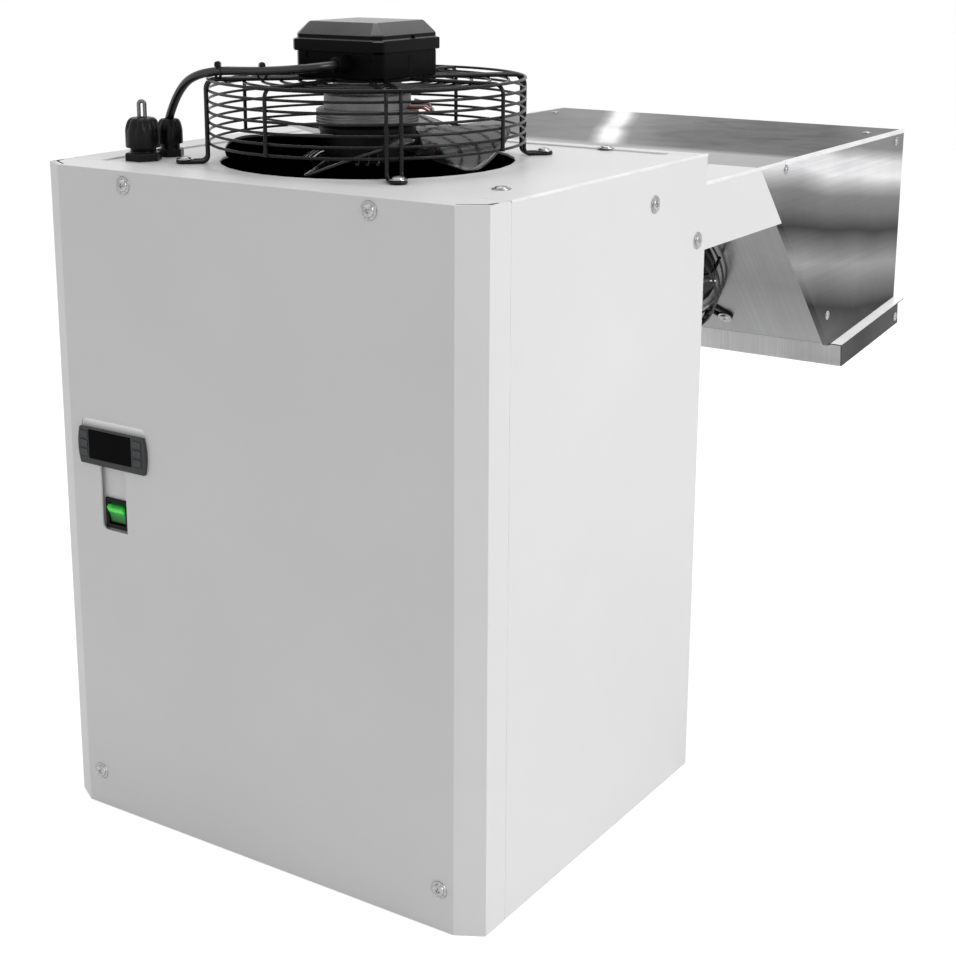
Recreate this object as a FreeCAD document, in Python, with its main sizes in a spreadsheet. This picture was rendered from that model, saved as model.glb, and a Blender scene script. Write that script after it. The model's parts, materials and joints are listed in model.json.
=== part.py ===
import FreeCAD, Part

import math
import os
import re

import Sketcher

# Monoblock refrigeration unit: a condensing cabinet, an insulated saddle and an evaporator housing.
# Millimetres. X runs across the unit, Y from the front cover towards the cold room, Z up.
# The origin is the middle of the cabinet's underside.

# Driving sizes of the white cabinet
SIZES = {
    "cab_width": 450,
    "cab_depth": 373,
    "cab_height": 592,
    "sheet": 1.5,
    "bevel_across": 22.5,
    "bevel_back": 13,
    "cover_return": 41,
    "seam": 1.2,
    "side_flange": 30,
    "rear_flange": 15,
    "lap": 18,
    "base_rim": 28,
    "intake_width": 10,
    "intake_length": 220,
    "intake_pitch": 20,
    "intake_inset": 30,
    "intake_rows": 5,
    "tunnel_inset": 17,
    "tunnel_width": 70,
    "tunnel_height": 36,
    "tunnel_rise": 13,
    "bolt_hole": 4.5,
    "bolt_inset": 30,
    "bolt_low": 120,
    "bolt_drop": 152,
}

# Condenser fan on the roof
SIZES |= {
    "fan_offset": 12.5,
    "fan_hole": 128.5,
    "collar_depth": 34,
    "guard_radius": 138.6,
    "guard_height": 73,
    "hoop_wire": 2.4,
    "hoop_weld": 1.2,
    "hoop_low": 16,
    "hoop_pitch": 9,
    "face_hoop_outer": 124,
    "face_hoop_pitch": 16,
    "rib_wire": 3.4,
    "rib_gap": 12,
    "shoulder_bend": 5,
    "foot_bend": 6,
    "foot_reach": 159,
    "boss_radius": 47,
    "motor_low": 33,
    "motor_step": 45,
    "motor_neck": 58,
    "motor_wide": 45,
    "motor_narrow": 38,
    "motor_stem": 30,
    "shaft": 5,
    "shaft_length": 22,
    "shaft_clearance": 0.05,
    "hub_radius": 43,
    "hub_top": 31.5,
    "hub_low": 1,
    "hub_floor": 6,
    "blade_tip": 125,
    "blade_start": 35,
    "blade_root": 44,
    "blade_chord": 112,
    "blade_camber": 4,
    "blade_pitch": 17,
    "blade_lead": 20,
    "blade_span": 47,
    "blade_wall": 2.4,
    "blade_centre": 15,
    "evap_blade_tip": 118,
    "evap_blade_centre": 21,
}

# Terminal box, glands and the lead on the roof
SIZES |= {
    "term_width": 92,
    "term_corner": 7.5,
    "term_height": 22,
    "term_wall": 3,
    "lid_lip": 2,
    "lid_band": 10,
    "lid_height": 24.5,
    "lid_slope": 10.5,
    "term_gland_offset": 11,
    "term_gland_rise": 12.5,
    "term_gland_radius": 6.5,
    "term_gland_length": 15,
    "lead": 7.5,
    "gland_inset": 55,
    "gland_front": 71,
    "gland_pitch": 34,
    "gland_fan_bore": 7,
    "gland_supply_bore": 9,
    "gland_fan_hex": 12.5,
    "gland_fan_height": 33,
    "gland_supply_hex": 16.5,
    "gland_supply_height": 37,
    "gland_flange": 7,
    "gland_neck": 3,
    "gland_barrel": 0.74,
    "gland_nut": 0.86,
    "gland_mouth": 0.45,
    "gland_dome": 9,
    "gland_chamfer": 2,
    "term_gland_collar": 1,
}

# Controller, its keys and the rocker switch in the front cover
SIZES |= {
    "control_recess": 5,
    "panel_inset": 25,
    "panel_width": 105,
    "panel_foot_drop": 342,
    "panel_head_drop": 200,
    "bezel_inset": 33.3,
    "bezel_width": 80,
    "bezel_drop": 260.8,
    "bezel_height": 33.3,
    "bezel_proud": 3.5,
    "bezel_bow": 2.5,
    "cutout_inset": 35.5,
    "cutout_width": 75.5,
    "cutout_drop": 220.5,
    "cutout_corner": 5,
    "window_inset": 13.4,
    "window_width": 49.5,
    "window_drop": 255,
    "window_height": 25.5,
    "window_wall": 1.5,
    "case_width": 70,
    "case_height": 28,
    "case_depth": 52,
    "key_height": 6.4,
    "key_pitch": 8.2,
    "key_drop": 254,
    "key_left_width": 8,
    "key_right_width": 9.5,
    "key_margin": 1.9,
    "key_depth": 2,
    "key_travel": 0.6,
    "key_clearance": 0.3,
    "switch_inset": 23.7,
    "switch_width": 27,
    "switch_drop": 318.5,
    "switch_height": 27.5,
    "switch_rim": 2.6,
    "switch_lip": 2.2,
    "switch_wall": 1.2,
    "switch_depth": 24,
    "rocker_rise": 3.2,
    "rocker_length": 17.2,
    "rocker_pivot": 6.5,
    "rocker_pin": 1.5,
    "rocker_clearance": 0.4,
}

# Refrigeration circuit in the cabinet
SIZES |= {
    "coil_inset": 25,
    "coil_far_inset": 75,
    "coil_margin": 36.5,
    "coil_drop": 162,
    "coil_thick": 48,
    "coil_core": 12,
    "fin_pitch": 22,
    "fin_wall": 1.2,
    "end_plate": 1.5,
    "end_rim": 5,
    "tube": 5,
    "bend_pitch": 50,
    "bend_radius": 12.5,
    "bend_rows": 5,
    "comp_inset": 130,
    "comp_y": 10,
    "comp_radius": 68,
    "comp_height": 178,
    "comp_dome": 26,
    "comp_foot_dome": 12,
    "comp_crown": 34,
    "grommet_height": 14,
    "grommet_radius": 13,
    "comp_foot": 150,
    "port": 16,
    "comp_plate": 3,
    "cap_width": 52,
    "cap_height": 58,
    "cap_low": 60,
    "cap_reach": 22,
    "cap_seat": 7,
    "receiver_inset": 75,
    "receiver_rear": 76.5,
    "receiver_radius": 33,
    "receiver_height": 150,
    "receiver_dome": 12,
    "receiver_crown": 23,
    "receiver_port": 11,
    "drier_inset": 37,
    "drier_rear": 19.5,
    "drier_low": 200,
    "drier_radius": 12,
    "drier_length": 96,
    "drier_taper": 10,
    "drier_wall": 1.5,
    "box_depth": 62,
    "box_margin": 4,
    "pipe": 5,
    "thin_pipe": 4,
    "suction_pipe": 7,
    "pipe_bend": 12,
    "suction_gap": 28,
    "suction_level": 250,
    "outlet_level": 215,
    "riser_gap": 29,
    "discharge_front": 125,
    "discharge_rise": 52,
    "feed_drop": 22,
}

# Saddle over the cold-room wall and the stainless evaporator housing
SIZES |= {
    "wall_gap": 120,
    "wall_panel": 80,
    "saddle_inset": 1.5,
    "saddle_drop": 26,
    "saddle_height": 61,
    "evap_length": 394,
    "evap_height": 213,
    "slant_run": 200,
    "steel": 1.2,
    "evap_flange": 18,
    "slant_flange": 6,
    "tray_rise": 19,
    "evap_hole": 128.5,
    "evap_fan_drop": 148,
    "evap_guard_height": 30,
    "evap_hoop_low": 4,
    "evap_hoop_pitch": 11,
    "evap_motor_low": 2.6,
    "evap_motor_step": 13,
    "evap_motor_neck": 21,
    "evap_collar": 11,
    "pipe_slot_margin": 5,
    "evap_coil_side": 23.5,
    "evap_plate_over": 3,
    "evap_plate_under": 2,
    "evap_bend_low": 28,
    "evap_bend_pitch": 40,
    "evap_bend_count": 4,
    "evap_coil_back": 62,
    "evap_coil_inset": 22,
    "evap_coil_rise": 27,
    "evap_coil_head": 10,
    "tray_over": 12.5,
    "tray_wall_height": 23,
    "tray_near": 4.5,
    "tray_far": 20,
    "spout_radius": 9,
    "spout_bore": 7,
    "spout_flange": 14,
    "spout_plate": 2,
    "spout_length": 26,
    "spout_inset": 40,
}

# Lengths that follow from the sizes, and are used by name in other expressions
DERIVED = {
    "saddle_width": "cab_width - 2 * saddle_inset",
    "saddle_top": "cab_height - saddle_drop",
    "tray_width": "saddle_width + 2 * tray_over",
    "intake_first": "cab_width / 2 - intake_inset",
    "tunnel_left": "cab_width / 2 - tunnel_inset",
    "tunnel_right": "tunnel_left - tunnel_width",
    "tunnel_sill": "saddle_top - saddle_height + tunnel_rise",
    "bolt_spread": "cab_width - 2 * bolt_inset",
    "gland_row": "cab_width / 2 - gland_inset",
    "gland_supply_y": "cab_depth / 2 - gland_front",
    "gland_fan_y": "gland_supply_y - gland_pitch",
    "panel_low": "cab_height - panel_foot_drop",
    "panel_high": "cab_height - panel_head_drop",
    "bezel_low": "cab_height - bezel_drop",
    "cutout_top": "cab_height - cutout_drop",
    "window_low": "cab_height - window_drop",
    "key_low": "cab_height - key_drop",
    "switch_low": "cab_height - switch_drop",
    "panel_left": "cab_width / 2 - panel_inset",
    "panel_right": "panel_left - panel_width",
    "bezel_left": "cab_width / 2 - bezel_inset",
    "window_left": "bezel_left - window_inset",
    "switch_left": "bezel_left - switch_inset",
    "cutout_left": "cab_width / 2 - cutout_inset",
    "cutout_right": "cutout_left - cutout_width",
    "coil_left": "cab_width / 2 - coil_inset",
    "coil_right": "cab_width / 2 - coil_far_inset",
    "coil_depth": "cab_depth - 2 * coil_margin",
    "coil_low": "cab_height - coil_drop",
    "comp_x": "cab_width / 2 - comp_inset",
    "receiver_x": "cab_width / 2 - receiver_inset",
    "receiver_y": "cab_depth / 2 - receiver_rear",
    "drier_x": "cab_width / 2 - drier_inset",
    "drier_y": "cab_depth / 2 - drier_rear",
    "suction_x": "drier_x - suction_gap",
    "evap_coil_width": "saddle_width - 2 * evap_coil_side",
    "evap_coil_low": "saddle_top - evap_height + evap_coil_rise",
    "evap_coil_high": "saddle_top - evap_coil_head",
}

# Derived places, as expressions of the sizes
FRONT = "(-cab_depth / 2)"
REAR = "(cab_depth / 2)"
HALF = "(cab_width / 2)"
SEAM_Y = f"({FRONT} + cover_return)"
ROOF = "(cab_height - sheet)"
FAN_X = "(-fan_offset)"
PLATE = ROOF
SADDLE_LOW = "(saddle_top - saddle_height)"
ROCKER_FACE = f"({FRONT} + control_recess - switch_lip - rocker_rise)"
ROCKER_MIDDLE = "(switch_low + switch_height / 2)"
EVAP_HALF = "(saddle_width / 2)"
SLANT_TOP = f"({REAR} + wall_gap)"
SLANT_LOW = f"({SLANT_TOP} + slant_run)"
EVAP_FAR = f"({SLANT_TOP} + evap_length)"
EVAP_LOW = "(saddle_top - evap_height)"
SLANT_LENGTH = "sqrt(slant_run ^ 2 + evap_height ^ 2)"
SLANT_ANGLE = "atan(slant_run / evap_height)"
EVAP_FAN_Y = f"({SLANT_TOP} + evap_fan_drop * sin({SLANT_ANGLE}))"
EVAP_FAN_Z = f"(saddle_top - evap_fan_drop * cos({SLANT_ANGLE}))"
EVAP_SEAT_Y = f"({EVAP_FAN_Y} + steel * cos({SLANT_ANGLE}))"
EVAP_SEAT_Z = f"({EVAP_FAN_Z} + steel * sin({SLANT_ANGLE}))"
EVAP_TURN = f"90 deg + {SLANT_ANGLE}"
TRAY_RUN = f"({EVAP_FAR} - {SLANT_LOW})"
TRAY_TILT = f"atan(tray_rise / {TRAY_RUN})"
FAN_HUB_BORE = "(shaft + shaft_clearance)"

SIDE_HOOPS = 7
EVAP_SIDE_HOOPS = 3
FACE_HOOPS = 5
HOOP_SIDES = 16
LOOP_SIDES = 4
HOLE_SIDES = 32
SMALL_SIDES = 12
LARGE_SIDES = 20
PIPE_SIDES = 6
SLIP = 0.3
BEND_STEP = 45
CORNER_STEP = 90
LEAD_SIDES = 4
BLADES = 5
BLADE_FIRST = 18
BLADE_TIP_STEPS = 4
FIRST_COLUMN = "A"

doc = FreeCAD.newDocument("monoblock_unit")
sheet = doc.addObject("Spreadsheet::Sheet", "Sizes")
for row, (alias, number) in enumerate(SIZES.items(), start=1):
    sheet.set(f"{FIRST_COLUMN}{row}", str(number))
    sheet.setAlias(f"{FIRST_COLUMN}{row}", alias)
doc.recompute()
WORD = re.compile(r"[a-z][a-z_]*")
parts = []


def bound(text):
    """The expression with every size named in the sheet, and every derived length written out."""

    def full(found):
        word = found.group(0)
        if word in DERIVED:
            return f"({bound(DERIVED[word])})"
        return f"Sizes.{word}" if word in SIZES else word

    return WORD.sub(full, str(text))


def size(text):
    """The value that an expression has now."""
    found = sheet.evalExpression(bound(text))
    return float(getattr(found, "Value", found))


def spot(x, y, z):
    """A point from three expressions."""
    return FreeCAD.Vector(size(x), size(y), size(z))


def keep(made, label):
    """Marks an object as a finished sub-part under its own name."""
    made.Label = label
    parts.append(made)
    return made


def place(made, x, y, z, turn=None):
    """Binds a placement, with a turn about X where the piece leans."""
    if turn is not None:
        leaning = FreeCAD.Rotation(FreeCAD.Vector(1, 0, 0), size(turn))
        made.Placement = FreeCAD.Placement(FreeCAD.Vector(), leaning)
        made.setExpression("Placement.Rotation.Angle", bound(turn))
    for axis, text in zip("xyz", (x, y, z)):
        made.setExpression(f"Placement.Base.{axis}", bound(text))
    return made


def new_body(name):
    """An empty body with a label of its own."""
    made = doc.addObject("PartDesign::Body", name)
    made.Label = name
    return made


def origin_feature(owner, role):
    """The plane or axis of a body's own origin with this role."""
    return next(each for each in owner.Origin.OriginFeatures if each.Role == role)


def draw(drawn, outline):
    """Adds one closed outline: a circle as (x, y, radius), else a list of corners."""
    first = drawn.GeometryCount
    if isinstance(outline, tuple):
        x, y, radius = outline
        centre = FreeCAD.Vector(size(x), size(y), 0)
        drawn.addGeometry(Part.Circle(centre, FreeCAD.Vector(0, 0, 1), size(radius)))
        tie(drawn, "DistanceX", (-1, 1, first, 3), x)
        tie(drawn, "DistanceY", (-1, 1, first, 3), y)
        tie(drawn, "Radius", (first,), radius)
        return
    count = len(outline)
    corners = [FreeCAD.Vector(size(x), size(y), 0) for x, y in outline]
    for index in range(count):
        drawn.addGeometry(Part.LineSegment(corners[index], corners[(index + 1) % count]))
    for index in range(count):
        after = first + (index + 1) % count
        drawn.addConstraint(Sketcher.Constraint("Coincident", first + index, 2, after, 1))
    for index, (x, y) in enumerate(outline):
        tie(drawn, "DistanceX", (-1, 1, first + index, 1), x)
        tie(drawn, "DistanceY", (-1, 1, first + index, 1), y)


def tie(drawn, kind, where, text):
    """One dimension of a sketch, bound to its expression."""
    index = drawn.addConstraint(Sketcher.Constraint(kind, *where, size(text)))
    drawn.setExpression(f"Constraints[{index}]", bound(text))


def sketch(owner, role, offset, outlines):
    """A sketch on a plane of the body's origin, moved along its normal."""
    drawn = owner.newObject("Sketcher::SketchObject", f"{owner.Name}_sketch")
    drawn.AttachmentSupport = [(origin_feature(owner, role), "")]
    drawn.MapMode = "FlatFace"
    drawn.setExpression("AttachmentOffset.Base.z", bound(offset))
    for outline in outlines:
        draw(drawn, outline)
    return drawn


PLANES = {"x": "YZ_Plane", "y": "XZ_Plane", "z": "XY_Plane"}


def slab(owner, across, low, high, *outlines):
    """Pads outlines between two levels of one axis. Outlines are in (y, z), (x, z) or (x, y)."""
    offset = f"-({high})" if across == "y" else low
    drawn = sketch(owner, PLANES[across], offset, outlines)
    padded = owner.newObject("PartDesign::Pad", f"{owner.Name}_pad")
    padded.Profile = drawn
    padded.setExpression("Length", bound(f"({high}) - ({low})"))
    return padded


def opening(owner, across, low, high, *outlines):
    """Cuts outlines out of a body between two levels of one axis."""
    doc.recompute()
    before = owner.Shape.Volume
    offset = f"-({low})" if across == "y" else high
    drawn = sketch(owner, PLANES[across], offset, outlines)
    pocket = owner.newObject("PartDesign::Pocket", f"{owner.Name}_pocket")
    pocket.Profile = drawn
    pocket.setExpression("Length", bound(f"({high}) - ({low})"))
    doc.recompute()
    if owner.Shape.Volume >= before:
        raise RuntimeError(f"the opening in {owner.Label} cut nothing")
    return pocket


def box_outline(low_x, high_x, low_y, high_y):
    """The four corners of a rectangle."""
    return [(low_x, low_y), (high_x, low_y), (high_x, high_y), (low_x, high_y)]


def many_sided(x, radius):
    """The corners of a large hole about a point on the X axis, as a polygon around the circle."""
    step = 360 / HOLE_SIDES
    reach = f"({radius}) / cos({step / 2} deg)"
    turns = [step * (number + 0.5) for number in range(HOLE_SIDES)]
    return [(f"{x} + {reach} * cos({turn} deg)", f"{reach} * sin({turn} deg)") for turn in turns]


def block(name, low, high):
    """A box between two corners, each corner three expressions."""
    made = doc.addObject("Part::Box", name)
    for side, start, end in zip(("Length", "Width", "Height"), low, high):
        made.setExpression(side, bound(f"({end}) - ({start})"))
    return place(made, *low)


def prism(name, sides, radius, height):
    """A straight prism on a regular polygon, standing on XY."""
    made = doc.addObject("Part::Prism", name)
    made.setExpression("Polygon", bound(sides))
    made.setExpression("Circumradius", bound(radius))
    made.setExpression("Height", bound(height))
    return made


def rings_of(sides, corners):
    """One ring of points for each (radius, height) corner, with flats as far out as the radius."""
    reach = 1 / math.cos(math.pi / sides)
    turns = [math.pi * (2 * number + 1) / sides for number in range(sides)]
    compass = [(reach * math.cos(turn), reach * math.sin(turn)) for turn in turns]
    return [
        [FreeCAD.Vector(radius * x, radius * y, height) for x, y in compass]
        for radius, height in corners
    ]


def solid_of(rings, more):
    """A solid from the four-cornered faces between neighbouring rings, and more outlines."""
    outlines = list(more)
    for lower, upper in zip(rings, rings[1:]):
        for number in range(len(lower)):
            after = (number + 1) % len(lower)
            outlines.append([lower[number], lower[after], upper[after], upper[number]])
    faces = [Part.Face(Part.makePolygon(outline + outline[:1])) for outline in outlines]
    return Part.makeSolid(Part.makeShell(faces))


def rounded_solid(name, sides, corners):
    """A many-sided round solid about Z, from the (radius, height) corners of its side, lowest first."""
    rings = rings_of(sides, [(size(radius), size(height)) for radius, height in corners])
    made = doc.addObject("Part::Feature", name)
    made.Shape = solid_of(rings, (rings[0], rings[-1]))
    return made


def joined(name, pieces):
    """One solid from several that meet."""
    made = doc.addObject("Part::MultiFuse", name)
    made.Shapes = pieces
    return made


def together(name, pieces):
    """Several solids that stand apart, kept as one sub-part."""
    made = doc.addObject("Part::Compound", name)
    made.Links = pieces
    return made


def taken(name, base, tool):
    """The base without the tool."""
    made = doc.addObject("Part::Cut", name)
    made.Base = base
    made.Tool = tool
    return made


def cabinet_base():
    """Floor tray with a rim all round and a row of air intake slots on the coil's side."""
    owner = new_body("base_pan")
    front = f"({FRONT} + sheet + seam)"
    rear = f"({REAR} - sheet)"

    def ring(inset):
        side = f"({HALF} - 2 * sheet - {inset})"
        near = f"({HALF} - bevel_across - 4 * sheet - {inset} / 2)"
        corner = f"({FRONT} + bevel_back + 3 * sheet + {inset} / 2)"
        return [
            (f"-{near}", f"{front} + {inset}"),
            (near, f"{front} + {inset}"),
            (side, f"{corner}"),
            (side, f"{rear} - {inset}"),
            (f"-{side}", f"{rear} - {inset}"),
            (f"-{side}", f"{corner}"),
        ]

    slots = []
    for number in range(int(size("intake_rows"))):
        left = f"(-intake_first + {number} * intake_pitch)"
        half = "intake_length / 2"
        slots.append(box_outline(left, f"{left} + intake_width", f"-{half}", half))
    slab(owner, "z", "0", "sheet", ring("0"), *slots)
    slab(owner, "z", "sheet", "base_rim", ring("0"), ring("sheet"))
    return keep(owner, "base_pan")


def mirrored(corners):
    """The same corners on the other side of the middle, in reverse order."""
    return [(f"-({x})", y) for x, y in reversed(corners)]


def front_cover():
    """Front face, two bevelled edges and their returns, with the roof flange and the control cut-out."""
    owner = new_body("front_cover")
    slope = "atan(bevel_back / bevel_across)"
    near = f"sheet * tan({slope} / 2)"
    side = f"sheet * tan((90 deg - {slope}) / 2)"
    right = [
        (HALF, SEAM_Y),
        (HALF, f"{FRONT} + bevel_back"),
        (f"{HALF} - bevel_across", FRONT),
    ]
    inner = [
        (f"{HALF} - bevel_across - {near}", f"{FRONT} + sheet"),
        (f"{HALF} - sheet", f"{FRONT} + bevel_back + {side}"),
        (f"{HALF} - sheet", SEAM_Y),
    ]
    slab(owner, "z", "0", "cab_height", right + mirrored(right) + mirrored(inner) + inner)
    edge = f"({HALF} - sheet - seam)"
    flange = [
        (f"{HALF} - bevel_across - sheet", f"{FRONT} + sheet / 2"),
        (edge, f"{FRONT} + bevel_back + {side} + seam / 2"),
        (edge, SEAM_Y),
    ]
    slab(owner, "z", ROOF, "cab_height", flange + mirrored(flange))
    cut = [
        ("-cutout_left", "cutout_top"),
        ("-cutout_right", "cutout_top"),
        ("-cutout_right", "bezel_low + seam"),
        ("-switch_left + switch_width + seam", "bezel_low + seam"),
        ("-switch_left + switch_width + seam", "switch_low - seam"),
        ("-switch_left - seam", "switch_low - seam"),
        ("-switch_left - seam", "bezel_low + seam"),
        ("-cutout_left", "bezel_low + seam"),
    ]
    cut_out = opening(owner, "y", f"{FRONT} - sheet", f"{FRONT} + 2 * sheet", cut)
    rounded = owner.newObject("PartDesign::Fillet", "front_cover_corners")
    rounded.Base = (cut_out, cut_corner_edges(cut_out.Shape))
    rounded.setExpression("Radius", bound("cutout_corner"))
    owner.Tip = rounded
    return keep(owner, "front_cover")


def cut_corner_edges(shape):
    """The rounded corners of the control cut-out: both at its top and one at the slot's foot."""
    top = size("cutout_top")
    foot = size("switch_low - seam")
    left = size("-switch_left - seam")
    names = []
    for index, edge in enumerate(shape.Edges, start=1):
        box = edge.BoundBox
        through = box.YLength > size("sheet") * 0.9 and box.XLength < 0.01 and box.ZLength < 0.01
        at_top = abs(box.ZMin - top) < 0.01
        at_foot = abs(box.ZMin - foot) < 0.01 and abs(box.XMin - left) < 0.01
        if through and (at_top or at_foot):
            names.append(f"Edge{index}")
    return names


def side_panel(label, side):
    """Side sheet with the roof flange, and a lap that slides behind the front cover's return."""
    owner = new_body(label)
    outer = f"{side} * {HALF}"
    inner = f"{side} * ({HALF} - sheet)"
    low, high = (inner, outer) if side > 0 else (outer, inner)
    slab(owner, "x", low, high, box_outline(f"{SEAM_Y} + seam", REAR, "0", "cab_height"))
    lap_inner = f"{side} * ({HALF} - 2 * sheet)"
    low, high = (lap_inner, inner) if side > 0 else (inner, lap_inner)
    lap = box_outline(f"{SEAM_Y} - lap", f"{SEAM_Y} + seam + lap / 3", "sheet", f"{ROOF} - 2 * sheet")
    slab(owner, "x", low, high, lap)
    flange_inner = f"{side} * ({HALF} - side_flange)"
    low, high = (flange_inner, outer) if side > 0 else (outer, flange_inner)
    flange = box_outline(low, high, f"{SEAM_Y} + seam", f"{REAR} - rear_flange - seam")
    slab(owner, "z", ROOF, "cab_height", flange)
    return keep(owner, label)


def rear_panel():
    """Back sheet that lies against the cold-room wall with its four bolt holes, and the header over it."""
    owner = new_body("rear_panel")
    half = f"({HALF} - sheet)"
    holes = [
        (f"{side} * bolt_spread / 2", level, "bolt_hole")
        for side in (-1, 1)
        for level in ("bolt_low", "cab_height - bolt_drop")
    ]
    slab(owner, "y", f"{REAR} - sheet", REAR, box_outline(f"-{half}", half, "0", SADDLE_LOW), *holes)
    keep(owner, "rear_panel")
    header = new_body("rear_header")
    tunnel = box_outline("-tunnel_left", "-tunnel_right", "tunnel_sill", "tunnel_sill + tunnel_height")
    outline = box_outline(f"-{half}", half, f"{SADDLE_LOW} + {SLIP}", "cab_height")
    slab(header, "y", f"{REAR} - sheet", REAR, outline, tunnel)
    slab(header, "z", ROOF, "cab_height", box_outline(f"-{half}", half, f"{REAR} - rear_flange", REAR))
    keep(header, "rear_header")


def top_plate():
    """Roof plate under the flanges, with the fan hole, its collar and two gland holes."""
    owner = new_body("top_plate")
    half = f"({HALF} - sheet)"
    under = f"({ROOF} - sheet)"
    fan = many_sided(FAN_X, "fan_hole")
    glands = [
        ("-gland_row", "-gland_fan_y", "gland_fan_bore"),
        ("-gland_row", "-gland_supply_y", "gland_supply_bore"),
    ]
    near = f"({FRONT} + 2 * sheet)"
    behind_bevel = f"({near} + bevel_back + sheet)"
    corners = [
        (f"-{half} + bevel_across", near),
        (f"{half} - bevel_across", near),
        (half, behind_bevel),
        (half, f"{REAR} - sheet"),
        (f"-{half}", f"{REAR} - sheet"),
        (f"-{half}", behind_bevel),
    ]
    slab(owner, "z", under, ROOF, corners, fan, *glands)
    slab(owner, "z", f"{under} - collar_depth", under, many_sided(FAN_X, "fan_hole + sheet"), fan)
    return keep(owner, "top_plate")


def run_of(stops, bends):
    """Straight runs between stops, joined by arcs with the given radii."""
    edges = []
    start = stops[0]
    for before, corner, after, bend in zip(stops, stops[1:], stops[2:], bends):
        into = (corner - before).normalize()
        out = (after - corner).normalize()
        half = into.getAngle(out) / 2
        reach = bend * math.tan(half)
        first = corner - into * reach
        last = corner + out * reach
        inward = (out - into).normalize()
        middle = corner + inward * (bend / math.cos(half) - bend)
        edges.append(Part.LineSegment(start, first).toShape())
        edges.append(Part.Arc(first, middle, last).toShape())
        start = last
    edges.append(Part.LineSegment(start, stops[-1]).toShape())
    return Part.Wire(edges)


def bar_along(path, radius):
    """A many-sided bar along a path, with its flats as far out as the radius."""
    first = path.OrderedEdges[0]
    heading = first.tangentAt(first.FirstParameter).normalize()
    start = path.OrderedVertexes[0].Point
    side = heading.cross(FreeCAD.Vector(0, 0, 1)).normalize()
    over = heading.cross(side)
    reach = radius / math.cos(math.pi / LEAD_SIDES)
    corners = []
    for number in range(LEAD_SIDES):
        turn = math.pi * (2 * number + 1) / LEAD_SIDES
        corners.append(start + side * (reach * math.cos(turn)) + over * (reach * math.sin(turn)))
    section = Part.makePolygon(corners + corners[:1])
    return path.makePipeShell([section], True, False)


def corner_points(stops, bends):
    """Points along straight runs between stops, with each corner cut into short lengths round its bend."""
    points = [stops[0]]
    for before, corner, after, bend in zip(stops, stops[1:], stops[2:], bends):
        into = (corner - before).normalize()
        out = (after - corner).normalize()
        turn = into.getAngle(out)
        first = corner - into * (bend * math.tan(turn / 2))
        normal = into.cross(out)
        count = max(1, round(math.degrees(turn) / CORNER_STEP))
        centre = first + normal.cross(into).normalize() * bend
        for step in range(count + 1):
            at = FreeCAD.Rotation(normal, math.degrees(turn) * step / count)
            points.append(centre + at.multVec(first - centre))
    points.append(stops[-1])
    return points


def square_along(points, width, across):
    """A square bar along short mitred lengths, with one side parallel to the across direction."""
    heading = (points[1] - points[0]).normalize()
    beside = across * (width / 2)
    over = heading.cross(across).normalize() * (width / 2)
    start = points[0]
    corners = [start + beside + over, start - beside + over, start - beside - over, start + beside - over]
    section = Part.makePolygon(corners + corners[:1])
    return Part.makePolygon(points).makePipeShell([section], True, False, 1)


def rib(offset, height, centre_radius, foot):
    """One guard wire in the XZ plane: out over the face, down the side and out along the plate."""
    wire = size("rib_wire")
    top = size(height) - wire / 2
    side = size("guard_radius - hoop_weld") + wire / 2
    low = wire / 2
    across = FreeCAD.Vector(0, 1, 0)
    stops = [FreeCAD.Vector(x, offset, z) for x, z in ((centre_radius, top), (side, top), (side, low))]
    bends = [size("shoulder_bend")]
    if foot:
        stops.append(FreeCAD.Vector(size("foot_reach"), offset, low))
        bends.append(size("foot_bend"))
    else:
        stops[-1].z = size("hoop_low") if height == "guard_height" else size("evap_hoop_low")
    return square_along(corner_points(stops, bends), wire, across)


def guard_ribs(name, height):
    """Four hairpin ribs on the diagonals, each with a looped foot, and four single ribs between them."""
    wire = size("rib_wire")
    gap = size("rib_gap") / 2
    start = size("boss_radius") - wire
    loop_centre = FreeCAD.Vector(size("foot_reach"), 0, 0)
    turns = [math.pi * (number / LOOP_SIDES - 0.5) for number in range(LOOP_SIDES + 1)]
    outer, inner = (
        [loop_centre + FreeCAD.Vector(reach * math.cos(turn), reach * math.sin(turn), 0) for turn in turns]
        for reach in (gap + wire / 2, gap - wire / 2)
    )
    loop = outer + inner[::-1]
    hairpin = Part.Face(Part.makePolygon(loop + loop[:1])).extrude(FreeCAD.Vector(0, 0, wire))
    for side in (-gap, gap):
        hairpin = hairpin.fuse(rib(side, height, start, True))
    single = rib(0, height, start, False)
    whole = []
    for quarter in range(4):
        pair = hairpin.copy()
        pair.rotate(FreeCAD.Vector(), FreeCAD.Vector(0, 0, 1), 45 + 90 * quarter)
        lone = single.copy()
        lone.rotate(FreeCAD.Vector(), FreeCAD.Vector(0, 0, 1), 90 * quarter)
        whole += [pair, lone]
    made = doc.addObject("Part::Feature", name)
    made.Shape = Part.makeCompound(whole)
    return made


def hoop(corners):
    """One welded ring of the guard: many sides, with a flat behind each rib and a three-cornered wire."""
    rings = rings_of(HOOP_SIDES, corners)
    return solid_of(rings + rings[:1], ())


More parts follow.
